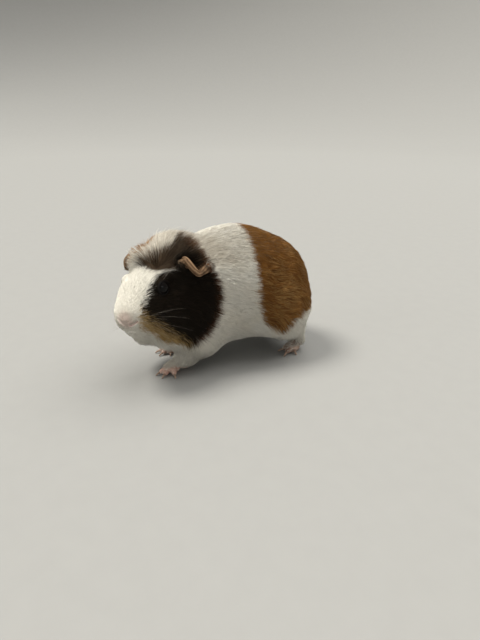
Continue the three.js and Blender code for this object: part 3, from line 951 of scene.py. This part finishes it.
def paint_bare(skin):
    """Marks the bare skin of the ears, lips and feet, and the lines and the shade inside the ears."""
    points = points_of(skin)
    places = to_body(points)
    zones = Zones(places)
    ear, groove, shade, lips = np.zeros((4, len(points)))
    for side in (1, -1):
        root, edge = (head_points(line) for line in ear_lines(side, EAR_PLACES))
        for t in (0.35, 0.5, 0.65, 0.8, 0.9, 1.0):
            line = root + (edge - root) * t
            line[:, 2] -= EAR_SAG * MM * math.sin(math.pi * t) * np.sin(np.linspace(0, math.pi, EAR_PLACES))
            share = smooth(4.2, 3.0, line_distance(points, line) / MM) * (1 if t > 0.7 else 0.9)
            ear = np.maximum(ear, share)
        near = np.linalg.norm(points - edge.mean(0), axis=1) < 0.04
        groove[near] = line_distance(points[near], edge + np.array([0, 0, 0.004])) / MM
        bend = head_points(np.array(EAR_EDGE[side])[-4] + (0, 0, 0.5))
        shade[near] = smooth(4.4, 2.4, np.linalg.norm(points[near] - bend, axis=1) / MM)
    for side, line, share in ((1, NOSTRIL, 1.0), (-1, NOSTRIL, 0.3), (1, PHILTRUM, 0.25)):
        route = head_points(mirrored(line, side, NOSE_LEAN * (side > 0)))
        lips = np.maximum(lips, share * smooth(2.5, 1.0, line_distance(points, route) / MM))
    paint(skin.data, "ear", ear)
    paint(skin.data, "groove", groove)
    paint(skin.data, "shade", 0.45 * shade)
    hind = smooth(-20, -40, zones.forward)
    sole = zones.up + 0.7 * ripple(places, 9, SEEDS["soles"]) - 8 * hind
    paint(skin.data, "foot", smooth(11, 6, sole))
    paint(skin.data, "lips", lips)


# ------------------------------------------------------------------ eyes, claws and whiskers


# How far the cornea stands out, in millimetres, and the cosine of the angle where it starts.
CORNEA_RISE = 0.35
CORNEA_REACH = math.cos(math.radians(50))


def build_eye(side_name, material):
    """A smooth ball with a slightly raised cornea."""
    low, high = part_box(f"eye_{side_name}")
    centre, radius = (low + high) / 2, (high.z - low.z) / 2
    piece = ball(centre, radius, 48)
    piece.name = f"glossy_eye_{side_name}"
    outward = unit(head_turned(np.array(EYE_AXIS[1 if side_name == "left" else -1])))
    points = points_of(piece)
    d = unit(points - np.array(centre))
    bulge = smooth(CORNEA_REACH, 1.0, d @ outward)
    move_points(piece, points + d * (bulge * CORNEA_RISE * MM)[:, None])
    return keep(piece, "eye", material, f"eye_{side_name}")


def build_claws(foot, count, material):
    """The claws of one foot, smoothed from their places in the frame."""
    nodes = [f"claw_{foot}_{i + 1}" for i in range(count)]
    parts = []
    for node in nodes:
        part = flesh_copy(node)
        apply(part, "SUBSURF", levels=2, render_levels=2)
        parts.append(part)
    piece = joined(parts, f"claws_{foot}")
    return keep(piece, "claw", material, *nodes)


# A whisker's thickest radius and the least length that it is cut back to, in millimetres.
WHISKER_RADIUS = 0.075
WHISKER_LEAST = 6
# How far whiskers may pass the frame's box: a share of its size, and metres over that.
WHISKER_ROOM = (0.01, 0.001)


def whisker(root, aim, length, droop, bend):
    """A thin tapering hair from a point, first along aim and then drooping; sizes in millimetres."""
    t = np.linspace(0, 1, 9)[:, None]
    sideways = unit(np.cross(aim, (0, 0, 1)))
    path = root + (aim * t * length + np.array([0, 0, -1]) * droop * t**2 + sideways * bend * t**2) * MM
    radii = WHISKER_RADIUS * (1 - 0.8 * t[:, 0]) * MM
    return loft(tube(path, radii, 4))


def whisker_plan(draw):
    """Each whisker's root on the head, its aim there and its length: rows on the muzzle, a few higher up."""
    plan = []
    for side in (1, -1):
        for row in range(4):
            for column in range(5):
                f = 60 - 4.2 * column + draw.uniform(-0.8, 0.8)
                h = side * (9.5 + 1.3 * column)
                k = -21 - 4.2 * row + draw.uniform(-0.8, 0.8)
                aim = (0.25 - 0.2 * column, side * 0.8, 0.28 - 0.24 * row)
                plan.append(((f, h, k), aim, draw.uniform(12, 24) + 2.2 * column))
        for i in range(3):
            aim = (0.1 - 0.25 * i, side * 0.55, 0.75)
            plan.append(((31 - 3 * i, side * 19, 10), aim, draw.uniform(14, 20)))
        plan.append(((17, side * 27, -3), (-0.75, side * 0.75, 0.05), 30))
        plan.append(((16, side * 28, -6), (-0.8, side * 0.72, 0.0), 26))
    return plan


def build_whiskers(skin_tree):
    """Whiskers on the muzzle, over the eyes and on the cheeks, short enough to stay near the frame."""
    draw = np.random.default_rng(SEEDS["whiskers"])
    points, faces, start = [], [], 0
    low, high = (np.array(corner) for corner in CAD_BOX)
    room = WHISKER_ROOM[0] * (high - low) + WHISKER_ROOM[1]
    for place, aim, length in whisker_plan(draw):
        root = np.array(skin_tree.find_nearest(Vector(head_points(place)))[0])
        direction = unit(head_turned(np.array(aim)))
        while length > WHISKER_LEAST:
            made, sides = whisker(root, direction, length, length * 0.16, draw.uniform(-2.5, 2.5))
            if (made > low - room).all() and (made < high + room).all():
                break
            length *= 0.85
        points.append(made)
        faces.append(sides + start)
        start += len(made)
    piece = new_piece("whiskers", mesh_of("whiskers", np.concatenate(points), np.concatenate(faces)))
    return keep(piece, "coat", whisker_material())


# ------------------------------------------------------------------ the lie of the coat


def blend(first, second, share):
    """Rows of vectors, from the first set where share is 0 to the second where it is 1."""
    return first * (1 - share)[:, None] + second * share[:, None]


def laid(vectors, normals):
    """Vectors laid along the skin, at length 1."""
    return unit(vectors - normals * np.sum(vectors * normals, 1, keepdims=True))


def coat_flow(places, normals):
    """The way the hair lies at places on the body, along the skin."""
    zones = Zones(places)
    side = np.sign(zones.left)
    spread = smooth(0, 30, np.abs(zones.left))
    down = 0.10 + 0.30 * spread + 1.1 * smooth(-52, -92, zones.forward) + 0.5 * smooth(60, 30, zones.up)
    trunk = turned(np.stack([-np.ones(len(places)), 0.12 * side * spread, -down], 1))

    ahead, sideways = head_turned(np.eye(3)[:2])
    cheek = smooth(4, 20, np.abs(zones.h))
    lower = smooth(-12, -34, zones.k)
    head = -ahead[None] + sideways[None] * (np.sign(zones.h) * (0.25 + 0.1 * lower) * cheek)[:, None]
    head = head + np.array([0, 0, -1.0])[None] * (0.15 * cheek + 0.55 * lower)[:, None]
    flow = blend(trunk, unit(head), zones.head)

    away = places - head_to_body(WHORL)
    radial = laid(turned(away), normals)
    behind = smooth(0.75, -0.1, np.sum(radial * ahead, 1))
    near = smooth(40, 16, np.linalg.norm(away, axis=1)) * zones.head * behind * smooth(-14, 2, zones.k)
    flow = blend(flow, radial, near)
    flow = blend(flow, turned((0.15, 0.0, -1.0)), zones.leg)
    flow = laid(blend(flow, turned((1.0, 0.0, -0.3)), zones.foot), normals)

    rump = smooth(-10, -30, zones.forward)
    sway = ripple(places, 16, SEEDS["sway"]) * (0.10 + 0.46 * rump * (1 - zones.leg)) * (1 - 0.6 * zones.head)
    return unit(flow + np.cross(normals, flow) * sway[:, None])


class Ground:
    """The skin's surface, for finding and following it."""

    def __init__(self, skin):
        mesh = skin.data
        mesh.calc_loop_triangles()
        self.points = points_of(skin)
        triangles = np.empty(len(mesh.loop_triangles) * 3, np.int32)
        mesh.loop_triangles.foreach_get("vertices", triangles)
        self.triangles = triangles.reshape(-1, 3)
        self.normals = points_of(skin, "normal")
        self.tree = BVHTree.FromPolygons(self.points.tolist(), self.triangles.tolist())
        self.bare = {}
        for name in ("ear", "foot", "lid", "lips"):
            values = np.empty(len(self.points), np.float32)
            mesh.attributes[name].data.foreach_get("value", values)
            self.bare[name] = values

    def scatter(self, density, seed):
        """Roots spread over the skin with density(places, shares) in tufts for each square millimetre."""
        draw = np.random.default_rng(seed)
        a, b, c = (self.points[self.triangles[:, i]] for i in range(3))
        area = np.linalg.norm(np.cross(b - a, c - a), axis=1) / 2 / MM**2
        centres = (a + b + c) / 3
        bare = {name: values[self.triangles].mean(1) for name, values in self.bare.items()}
        wanted = area * density(Zones(to_body(centres)), bare)
        total = np.cumsum(wanted)
        count = int(total[-1])
        chosen = np.searchsorted(total, (np.arange(count) + draw.uniform(0, 1, count)) * total[-1] / count)
        chosen = np.minimum(chosen, len(total) - 1)
        u, v = draw.uniform(0, 1, (2, count))
        flip = u + v > 1
        u, v = np.where(flip, 1 - u, u), np.where(flip, 1 - v, v)
        weights = np.stack([1 - u - v, u, v], 1)
        corners = self.triangles[chosen]
        points = np.einsum("ij,ijk->ik", weights, self.points[corners])
        normals = unit(np.einsum("ij,ijk->ik", weights, self.normals[corners]))
        return points, normals

    def settle(self, points):
        """Each point's nearest place on the skin, and the way the skin faces there."""
        found = [self.tree.find_nearest(point) for point in points.tolist()]
        return np.array([hit[0] for hit in found]), np.array([hit[1] for hit in found])


def tuft_length(zones):
    """How long a tuft is, in millimetres."""
    length = TRUNK_TUFT + 2.5 * smooth(-30, -70, zones.forward)
    length = length * (1 - zones.head) + (HEAD_TUFT - 5.4 * zones.muzzle - 2.2 * zones.nose) * zones.head
    length = length + 7.0 * zones.crest + 5.0 * zones.chest - 3.5 * zones.eye
    return length * (1 - 0.45 * zones.leg) * (1 - 0.66 * zones.foot)


def tuft_density(zones, bare):
    """Tufts for each square millimetre of skin."""
    density = TUFTS + 0.45 * zones.head + 2.0 * zones.muzzle + 1.6 * zones.nose + 0.4 * zones.crest
    density = density + 0.6 * zones.leg + 1.6 * zones.eye
    keep_out = np.maximum.reduce([bare["lid"], 0.97 * bare["ear"], 0.75 * bare["foot"], 0.95 * bare["lips"]])
    return density * (1 - keep_out) * (1 - 0.3 * zones.belly)


def guide_density(zones, bare):
    """Locks for each square millimetre of skin."""
    return LOCKS - 0.06 * zones.tawny + 0.12 * zones.head + 0.25 * zones.muzzle + 0.06 * zones.leg


# A lock's steps over the skin, and how far inside the skin a root lies, in metres.
GUIDE_STEPS = 5
SINK = 0.0003


def comb(ground, points, normals, lengths, rises):
    """Paths that start at points, follow the lie of the coat and rise to a height over the skin."""
    paths = [points - normals * SINK]
    here, facing = points, normals
    for i in range(GUIDE_STEPS):
        flow = coat_flow(to_body(here), facing)
        here, facing = ground.settle(here + flow * (lengths / GUIDE_STEPS)[:, None] * MM)
        t = (i + 1) / GUIDE_STEPS
        height = rises * (1 - (1 - t) ** 2.2)
        paths.append(here + facing * height[:, None] * MM)
    return np.stack(paths, 1)


def between(paths, shares):
    """Places along paths at shares from 0 to 1, one row of shares for each path."""
    t = np.clip(shares, 0, 1) * (paths.shape[1] - 1)
    i = np.minimum(t.astype(int), paths.shape[1] - 2)
    u = (t - i)[..., None]
    rows = np.arange(len(paths))[:, None]
    return paths[rows, i] * (1 - u) + paths[rows, i + 1] * u


# How far hair keeps off an ear's rolled edge, the room in front of it and its lobe, in metres.
OFF_EDGE, OFF_ROOM, OFF_LOBE = 0.0036, 0.0032, 0.0058


def clear_of_ears(path):
    """Whether each path keeps off the rolled front edge of the ears."""
    free = np.ones(len(path), bool)
    for side in (1, -1):
        front = ear_lines(side, EAR_PLACES)[1][:25]
        room = head_points(front + (0.5, 3.0 * side, 3.0))[:18]
        edge = head_points(front)
        lobe = head_points(EAR_EDGE[side][-3])
        near = np.flatnonzero(np.linalg.norm(path[:, 2] - edge.mean(0), axis=1) < 0.035)
        for step in (1, 1.5, 2, 2.5, 3):
            spot = (path[near, math.floor(step)] + path[near, math.ceil(step)]) / 2
            free[near] &= (line_distance(spot, edge) > OFF_EDGE) & (line_distance(spot, room) > OFF_ROOM)
            free[near] &= np.linalg.norm(spot - lobe, axis=1) > OFF_LOBE
    return free


def grow_guides(ground, settings, draw):
    """The locks that lead the coat: their roots on the skin and their combed paths."""
    roots, facing = ground.scatter(guide_density, SEEDS["locks"])
    zones = Zones(to_body(roots))
    lengths = tuft_length(zones) * draw.uniform(0.92, 1.12, len(roots)) * settings.length
    rises = coat_depth(zones) * draw.uniform(0.85, 1.04, len(roots)) * settings.lift
    rises = rises * (1 + 0.75 * zones.chest - 0.5 * zones.eye * (zones.h < 0))
    return roots, comb(ground, roots, facing, lengths, rises)


def nearest_roots(roots, starts):
    """The three roots nearest to each start, and how far off they are, in millimetres."""
    tree = KDTree(len(roots))
    for i, root in enumerate(roots):
        tree.insert(root, i)
    tree.balance()
    found = [tree.find_n(start, 3) for start in starts.tolist()]
    closest = np.array([[hit[1] for hit in hits] for hits in found])
    return closest, np.array([[hit[2] for hit in hits] for hits in found]) / MM


def grow_tufts(ground, settings):
    """All tufts: their paths, the way the skin faces at their roots, widths, a chance for each, and zones."""
    draw = np.random.default_rng(SEEDS["coat"])
    roots, guides = grow_guides(ground, settings, draw)
    share = settings.density * 1.0
    starts, normals = ground.scatter(lambda spot, bare: tuft_density(spot, bare) * share, SEEDS["tufts"])
    closest, gaps = nearest_roots(roots, starts)
    zones = Zones(to_body(starts))
    count = len(starts)
    reach = np.minimum(draw.uniform(0.74, 1.08, count), 1)
    t = np.linspace(0, 1, 4)[None] * reach[:, None]

    # A tuft follows the three nearest locks, and on the saddle and the crest nearly only the nearest.
    weights = 1 / (gaps + 0.4) ** (1.5 + 3 * zones.tawny + 2 * zones.crest)[:, None]
    weights /= weights.sum(1, keepdims=True)
    shapes = guides - guides[:, :1]
    own = sum(shapes[closest[:, i]] * weights[:, i, None, None] for i in range(3))
    path = between(own, t) + (starts - normals * SINK)[:, None]

    # The tufts of a lock draw together towards its tip, and some stray.
    pull = settings.clump * (0.28 + 0.75 * zones.tawny + 0.5 * zones.crest) * draw.uniform(0.5, 1.15, count)
    path -= (starts - roots[closest[:, 0]])[:, None] * (pull[:, None] * t**1.5)[..., None]
    loose = zones.crest + 0.6 * zones.chest
    stray = (0.018 + 0.03 * loose + (0.06 + 0.26 * loose) * draw.random(count) ** 4) * tuft_length(zones) * MM
    path += unit(draw.normal(size=(count, 3)))[:, None] * (stray[:, None] * t**1.6)[..., None]
    height = coat_depth(zones) * draw.uniform(-0.14, 0.08, count) * MM
    path += normals[:, None] * (height[:, None] * t)[..., None]

    free = clear_of_ears(path) | (draw.random(count) < 0.04)
    path, normals, zones = path[free], normals[free], Zones(to_body(starts[free]))
    width = (TUFT_WIDTH - 0.06 * zones.head - 0.08 * zones.muzzle - 0.06 * zones.foot) * settings.width
    width = width * 1.0
    return path, normals, width * draw.uniform(0.7, 1.3, len(path)), draw.random(len(path)), zones


def tuft_faces(rings):
    """The faces of one tuft: a flat root, three sides from ring to ring, and a point."""
    faces = [(0, 2, 1)]
    for ring in range(0, 3 * rings - 3, 3):
        for i in range(3):
            j = (i + 1) % 3
            faces += [(ring + i, ring + j, ring + 3 + j), (ring + i, ring + 3 + j, ring + 3 + i)]
    last, tip = 3 * rings - 3, 3 * rings
    return np.array(faces + [(last, last + 1, tip), (last + 1, last + 2, tip), (last + 2, last, tip)])


def tuft_mesh(name, path, normals, width, chance, fine):
    """A mesh of closed three-sided tufts that taper to a point; a fine tuft has one ring less."""
    if fine:
        path = np.stack([path[:, 0], path[:, 1] * 0.6 + path[:, 2] * 0.4, path[:, 3]], 1)
    count, rings = len(path), path.shape[1] - 1
    heights = np.linspace(0, 1, rings + 1)[:-1]
    taper = np.interp(heights, (0, 0.4, 1), (0.75, 1.0, 0.1))
    along = unit(np.gradient(path, axis=1))[:, :rings]
    across = unit(np.cross(along, normals[:, None]))
    high = np.cross(across, along)
    angles = np.radians([90, 210, 330])
    wide = np.cos(angles)[None, None, :, None] * across[:, :, None]
    tall = np.sin(angles)[None, None, :, None] * high[:, :, None] * 0.5
    radius = (width[:, None] * taper[None] * 0.5 * MM)[..., None, None]
    shapes = path[:, :rings, None] + (wide + tall) * radius
    points = np.concatenate([shapes.reshape(count, rings * 3, 3), path[:, -1:]], 1)
    one = outwards(points[0] - points[0].mean(0), tuft_faces(rings))
    size = points.shape[1]
    faces = (one[None] + size * np.arange(count)[:, None, None]).reshape(-1, 3)
    mesh = mesh_of(name, points.reshape(-1, 3), faces)
    seats = np.repeat(path[:, 0] * 0.4 + path[:, -2] * 0.3 + path[:, -1] * 0.3, size, 0)
    seat = mesh.attributes.new("seat", "FLOAT_VECTOR", "POINT")
    seat.data.foreach_set("vector", seats.astype(np.float32).ravel())
    shares = np.append(np.repeat(heights, 3), 1.0)
    paint(mesh, "along", np.tile(shares, count))
    paint(mesh, "chance", np.repeat(chance, size))
    bake_map(mesh, path[:, 0], normals, faces, shares)
    return mesh


# A tuft's patch on the map, and the map's margin round each side, as shares of the whole map.
PATCH = 0.003
MARGIN = 0.01


def bake_map(mesh, roots, normals, faces, shares):
    """The OFBake map: each tuft is a small patch at its root's place, on the skin unfolded into six sides."""
    axis = np.abs(normals).argmax(1)
    chart = axis * 2 + (normals[np.arange(len(axis)), axis] > 0)
    u_axis, v_axis = np.array([1, 0, 0])[axis], np.array([2, 2, 1])[axis]
    rows = np.arange(len(roots))
    flat = np.stack([roots[rows, u_axis], roots[rows, v_axis]], 1)
    place = np.zeros_like(flat)
    for side in range(6):
        own = chart == side
        if not own.any():
            continue
        low, high = flat[own].min(0), flat[own].max(0)
        share = (flat[own] - low) / np.maximum(high - low, 1e-6)
        corner = np.array([side % 3 / 3, side // 3 / 2])
        place[own] = corner + MARGIN + share * (1 / 3 - 2 * MARGIN, 1 / 2 - 2 * MARGIN)
    across = np.append(np.tile([-0.5, 0.5, 0.0], (len(shares) - 1) // 3), 0.0) * (1 - 0.6 * shares)
    lift = np.append(np.tile([0.0, 0.0, 0.06], (len(shares) - 1) // 3), 0.0)
    patch = np.stack([across, shares + lift - 0.5], 1) * PATCH
    at = (place[:, None] + patch[None]).reshape(-1, 2)
    layer = mesh.uv_layers.new(name="OFBake")
    layer.uv.foreach_set("vector", at[faces.ravel()].astype(np.float32).ravel())


def coat_regions(zones):
    """Which piece of the coat each tuft belongs to."""
    left = zones.left > 0
    names = np.where(zones.forward > -22, "shoulder", "flank").astype(object)
    names = np.where(zones.forward < -58, "rump", names)
    names = np.where(zones.forward > 24, "neck", names)
    names = np.where(zones.leg > 0.5, "leg", names)
    head = zones.head > 0.5
    names = np.where(head & (zones.k > 6), "crown", names)
    names = np.where(head & (zones.k <= 6), "cheek", names)
    names = np.where(head & (zones.f > 40), "muzzle", names)
    left = np.where(head, zones.h > 0, left)
    return np.array([f"coat_{name}_{'left' if is_left else 'right'}" for name, is_left in zip(names, left)])


# The most triangles in a piece, those of a tuft with all its rings or one less, and where finer ones grow.
PIECE_FACES = 190000
TUFT_FACES, FINE_FACES = 16, 10
FINE = ("cheek", "muzzle", "leg")


def build_coat(ground, settings):
    """Makes the coat's pieces, each small enough to stay whole when it is written out."""
    path, normals, width, chance, zones = grow_tufts(ground, settings)
    material = coat_material()
    names = coat_regions(zones)
    for name in sorted(set(names)):
        own = np.flatnonzero(names == name)
        fine = any(word in name for word in FINE)
        parts = math.ceil(len(own) * (FINE_FACES if fine else TUFT_FACES) / PIECE_FACES)
        own = own[np.argsort(path[own, 0, 2], kind="stable")]
        for i, some in enumerate(np.array_split(own, parts)):
            full = name if parts == 1 else f"{name}_{i + 1}"
            mesh = tuft_mesh(full, path[some], normals[some], width[some], chance[some], fine)
            keep(new_piece(full, mesh), "coat", material)


# ------------------------------------------------------------------ stage


FLOOR_RADIUS, FLOOR_RISE, FLOOR_STEPS = 2.2, 1.6, 10
WORLD_TINT = (1.0, 0.98, 0.93, 1)
# Each lamp's name, where it shines from, its spread in degrees, its power and its tint.
LAMPS = (
    ("key", (-0.28, -0.45, 1.0), 22, 3.2, (1.0, 0.965, 0.88)),
    ("front", (0.0, -1.0, 0.06), 50, 2.9, (1.0, 0.97, 0.89)),
    ("glint", (1.0, -0.3, 0.7), 8, 0.4, (0.95, 0.98, 1.0)),
    ("top", (-0.1, 0.45, 1.0), 60, 2.4, (1.0, 0.98, 0.92)),
)


def build_floor(settings):
    """A pale floor that curves up far away."""
    deselect()
    bpy.ops.mesh.primitive_circle_add(vertices=96, radius=FLOOR_RADIUS, fill_type="NGON", location=(0, 0, 0))
    floor = bpy.context.object
    floor.name = "floor"
    bpy.ops.object.mode_set(mode="EDIT")
    bpy.ops.mesh.select_all(action="SELECT")
    for i in range(FLOOR_STEPS):
        a, b = (math.pi / 2 * n / FLOOR_STEPS for n in (i, i + 1))
        wide = FLOOR_RADIUS + FLOOR_RISE * math.sin(b)
        lift = FLOOR_RISE * (math.cos(a) - math.cos(b))
        bpy.ops.mesh.select_mode(type="EDGE")
        if i == 0:
            bpy.ops.mesh.region_to_loop()
        bpy.ops.mesh.extrude_edges_move(TRANSFORM_OT_translate={"value": (0, 0, lift)})
        factor = wide / (FLOOR_RADIUS + FLOOR_RISE * math.sin(a))
        bpy.ops.transform.resize(value=(factor, factor, 1), center_override=(0, 0, 0))
    bpy.ops.object.mode_set(mode="OBJECT")
    bpy.ops.object.shade_smooth()
    floor.data.materials.append(floor_material(settings))


def build_lights(settings):
    """Soft light all round, and lamps far away."""
    world = bpy.data.worlds.new("studio")
    world.use_nodes = True
    background = world.node_tree.nodes["Background"]
    background.inputs["Color"].default_value = WORLD_TINT
    background.inputs["Strength"].default_value = settings.world
    bpy.context.scene.world = world
    bpy.context.scene.view_settings.view_transform = "Standard"
    for name, place, angle, power, tint in LAMPS:
        data = bpy.data.lights.new(name, "SUN")
        data.angle, data.energy, data.color = math.radians(angle), power * settings.light, tint
        lamp = bpy.data.objects.new(name, data)
        bpy.context.scene.collection.objects.link(lamp)
        lamp.location = place
        lamp.rotation_euler = (-Vector(place)).to_track_quat("-Z", "Y").to_euler()
        lamp.visible_glossy = name in ("key", "glint")
        lamp.visible_diffuse = name != "glint"


def build_camera(settings):
    """The camera, to the animal's left and ahead of it, looking down."""
    data = bpy.data.cameras.new("camera")
    data.sensor_width = 36
    data.lens = settings.lens
    camera = bpy.data.objects.new("camera", data)
    bpy.context.scene.collection.objects.link(camera)
    place = to_world(np.array(settings.camera_place) / MM)
    heading, pitch = settings.camera_heading, settings.camera_pitch
    ahead = turned(np.array([-math.cos(heading), -math.sin(heading), 0]))
    aim = Vector(ahead * math.cos(pitch)) - Vector((0, 0, math.sin(pitch)))
    camera.location = place
    camera.rotation_euler = aim.to_track_quat("-Z", "Y").to_euler()
    bpy.context.scene.camera = camera


def floor_material(settings):
    """A pale, matt floor with a hint of grain."""
    shader = Shader("floor")
    grain = shader.noise(shader.object_point(), 60, 4)
    darker = tuple(0.94 * share for share in settings.floor_colour)
    colour = shader.mix(grain + 0.5, settings.floor_colour, darker)
    return shader.finish(Base_Color=colour, Roughness=0.85, Specular_IOR_Level=0.2)


# ------------------------------------------------------------------ what a user may change


def number(name, description, default, low, high, **more):
    """A setting with a least and a greatest value."""
    kind = bpy.props.IntProperty if isinstance(default, int) else bpy.props.FloatProperty
    return kind(name=name, description=description, default=default, min=low, max=high, **more)


def angle(name, description, degrees):
    """A setting that is an angle."""
    turn = 2 * math.pi
    return number(name, description, math.radians(degrees), -turn, turn, subtype="ANGLE")


def triple(name, description, default, **more):
    """A setting of three numbers."""
    return bpy.props.FloatVectorProperty(name=name, description=description, default=default, **more)


class GuineaPigSkin(bpy.types.PropertyGroup):
    """Sizes of the skin."""

    smoothing: number("Smoothing", "Rounds of smoothing over the frame's flat faces", 24, 0, 60)
    grain: number("Grain", "Size of the skin's faces before thinning, in millimetres", 0.62, 0.4, 3)
    triangles: number("Triangles", "Triangles that the whole skin may have", 190000, 20000, 195000)


class GuineaPigCoat(bpy.types.PropertyGroup):
    """The growth of the coat."""

    density: number("Density", "Share of the usual number of tufts", 1.0, 0.05, 2)
    length: number("Length", "Share of the usual length", 1.0, 0.3, 2)
    width: number("Width", "Share of the usual width of a tuft", 1.0, 0.3, 3)
    lift: number("Lift", "Share of the usual height over the skin", 1.0, 0.1, 2)
    clump: number("Clump", "How far the tufts of a lock draw together", 0.55, 0, 1)


class GuineaPigStage(bpy.types.PropertyGroup):
    """The stage, its lights and its camera."""

    floor_colour: triple("Floor colour", "Colour of the floor", (0.31, 0.31, 0.305), subtype="COLOR")
    light: number("Light", "Share of the lamps' power", 1.0, 0, 10)
    world: number("World", "Strength of the light all round", 0.42, 0, 10)
    lens: number("Lens", "Focal length of the camera", 27.34, 1, 500, unit="CAMERA")
    camera_place: triple(
        "Camera place", "Forward of the shoulders, left and up", (0.1868, 0.4371, 0.25),
        subtype="TRANSLATION", unit="LENGTH",
    )
    camera_heading: angle("Camera heading", "How far round to the animal's left the camera stands", 65.0)
    camera_pitch: angle("Camera pitch", "How far down the camera looks", 24.3)


# ------------------------------------------------------------------ operators

_ground = {}


def ground():
    """The finished skin's surface, found once."""
    if "skin" not in bpy.data.objects:
        raise RuntimeError("the skin comes before what grows on it")
    if "skin" not in _ground:
        _ground["skin"] = Ground(bpy.data.objects["skin"])
    return _ground["skin"]


class GUINEAPIG_OT_skin(bpy.types.Operator):
    """Make the skin of head, body, legs, feet and ears"""

    bl_idname = "guineapig.skin"
    bl_label = "Skin"

    def execute(self, context):
        build_skin(context.scene.guinea_pig_skin)
        return {"FINISHED"}


class GUINEAPIG_OT_eyes(bpy.types.Operator):
    """Make both eyes"""

    bl_idname = "guineapig.eyes"
    bl_label = "Eyes"

    def execute(self, context):
        material = eye_material()
        for side in ("left", "right"):
            build_eye(side, material)
        return {"FINISHED"}


class GUINEAPIG_OT_claws(bpy.types.Operator):
    """Make the claws of all four feet"""

    bl_idname = "guineapig.claws"
    bl_label = "Claws"

    def execute(self, context):
        material = claw_material()
        for side in ("left", "right"):
            build_claws(f"front_{side}", 4, material)
            build_claws(f"hind_{side}", 3, material)
        return {"FINISHED"}


class GUINEAPIG_OT_whiskers(bpy.types.Operator):
    """Make the whiskers"""

    bl_idname = "guineapig.whiskers"
    bl_label = "Whiskers"

    def execute(self, context):
        build_whiskers(ground().tree)
        return {"FINISHED"}


class GUINEAPIG_OT_coat(bpy.types.Operator):
    """Grow the coat on the skin"""

    bl_idname = "guineapig.coat"
    bl_label = "Coat"

    def execute(self, context):
        build_coat(ground(), context.scene.guinea_pig_coat)
        return {"FINISHED"}


class GUINEAPIG_OT_stage(bpy.types.Operator):
    """Make the floor, the lights and the camera"""

    bl_idname = "guineapig.stage"
    bl_label = "Stage"

    def execute(self, context):
        for build in (build_floor, build_lights, build_camera):
            build(context.scene.guinea_pig_stage)
        return {"FINISHED"}


OPERATORS = (
    GUINEAPIG_OT_skin, GUINEAPIG_OT_eyes, GUINEAPIG_OT_claws, GUINEAPIG_OT_whiskers, GUINEAPIG_OT_coat,
    GUINEAPIG_OT_stage,
)
GROUPS = {"skin": GuineaPigSkin, "coat": GuineaPigCoat, "stage": GuineaPigStage}


class GUINEAPIG_PT_panel(bpy.types.Panel):
    """Lists the guinea pig's pieces"""

    bl_label = "Guinea pig"
    bl_idname = "GUINEAPIG_PT_panel"
    bl_space_type = "VIEW_3D"
    bl_region_type = "UI"
    bl_category = "Guinea pig"

    def draw(self, context):
        for key, group in GROUPS.items():
            box = self.layout.box()
            box.label(text=key.capitalize())
            for name in group.__annotations__:
                box.prop(getattr(context.scene, f"guinea_pig_{key}"), name)
        for operator in OPERATORS:
            self.layout.operator(operator.bl_idname)


def register():
    """Registers the classes and the settings."""
    for found in (*GROUPS.values(), *OPERATORS, GUINEAPIG_PT_panel):
        bpy.utils.register_class(found)
    for key, group in GROUPS.items():
        setattr(bpy.types.Scene, f"guinea_pig_{key}", bpy.props.PointerProperty(type=group))


def unregister():
    """Takes the classes and the settings away again."""
    for key in GROUPS:
        delattr(bpy.types.Scene, f"guinea_pig_{key}")
    for found in reversed((*GROUPS.values(), *OPERATORS, GUINEAPIG_PT_panel)):
        bpy.utils.unregister_class(found)


def main():
    """Makes every piece."""
    register()
    bpy.ops.guineapig.stage()
    bpy.ops.guineapig.skin()
    bpy.ops.guineapig.eyes()
    bpy.ops.guineapig.claws()
    bpy.ops.guineapig.whiskers()
    bpy.ops.guineapig.coat()


if __name__ == "__main__":
    main()
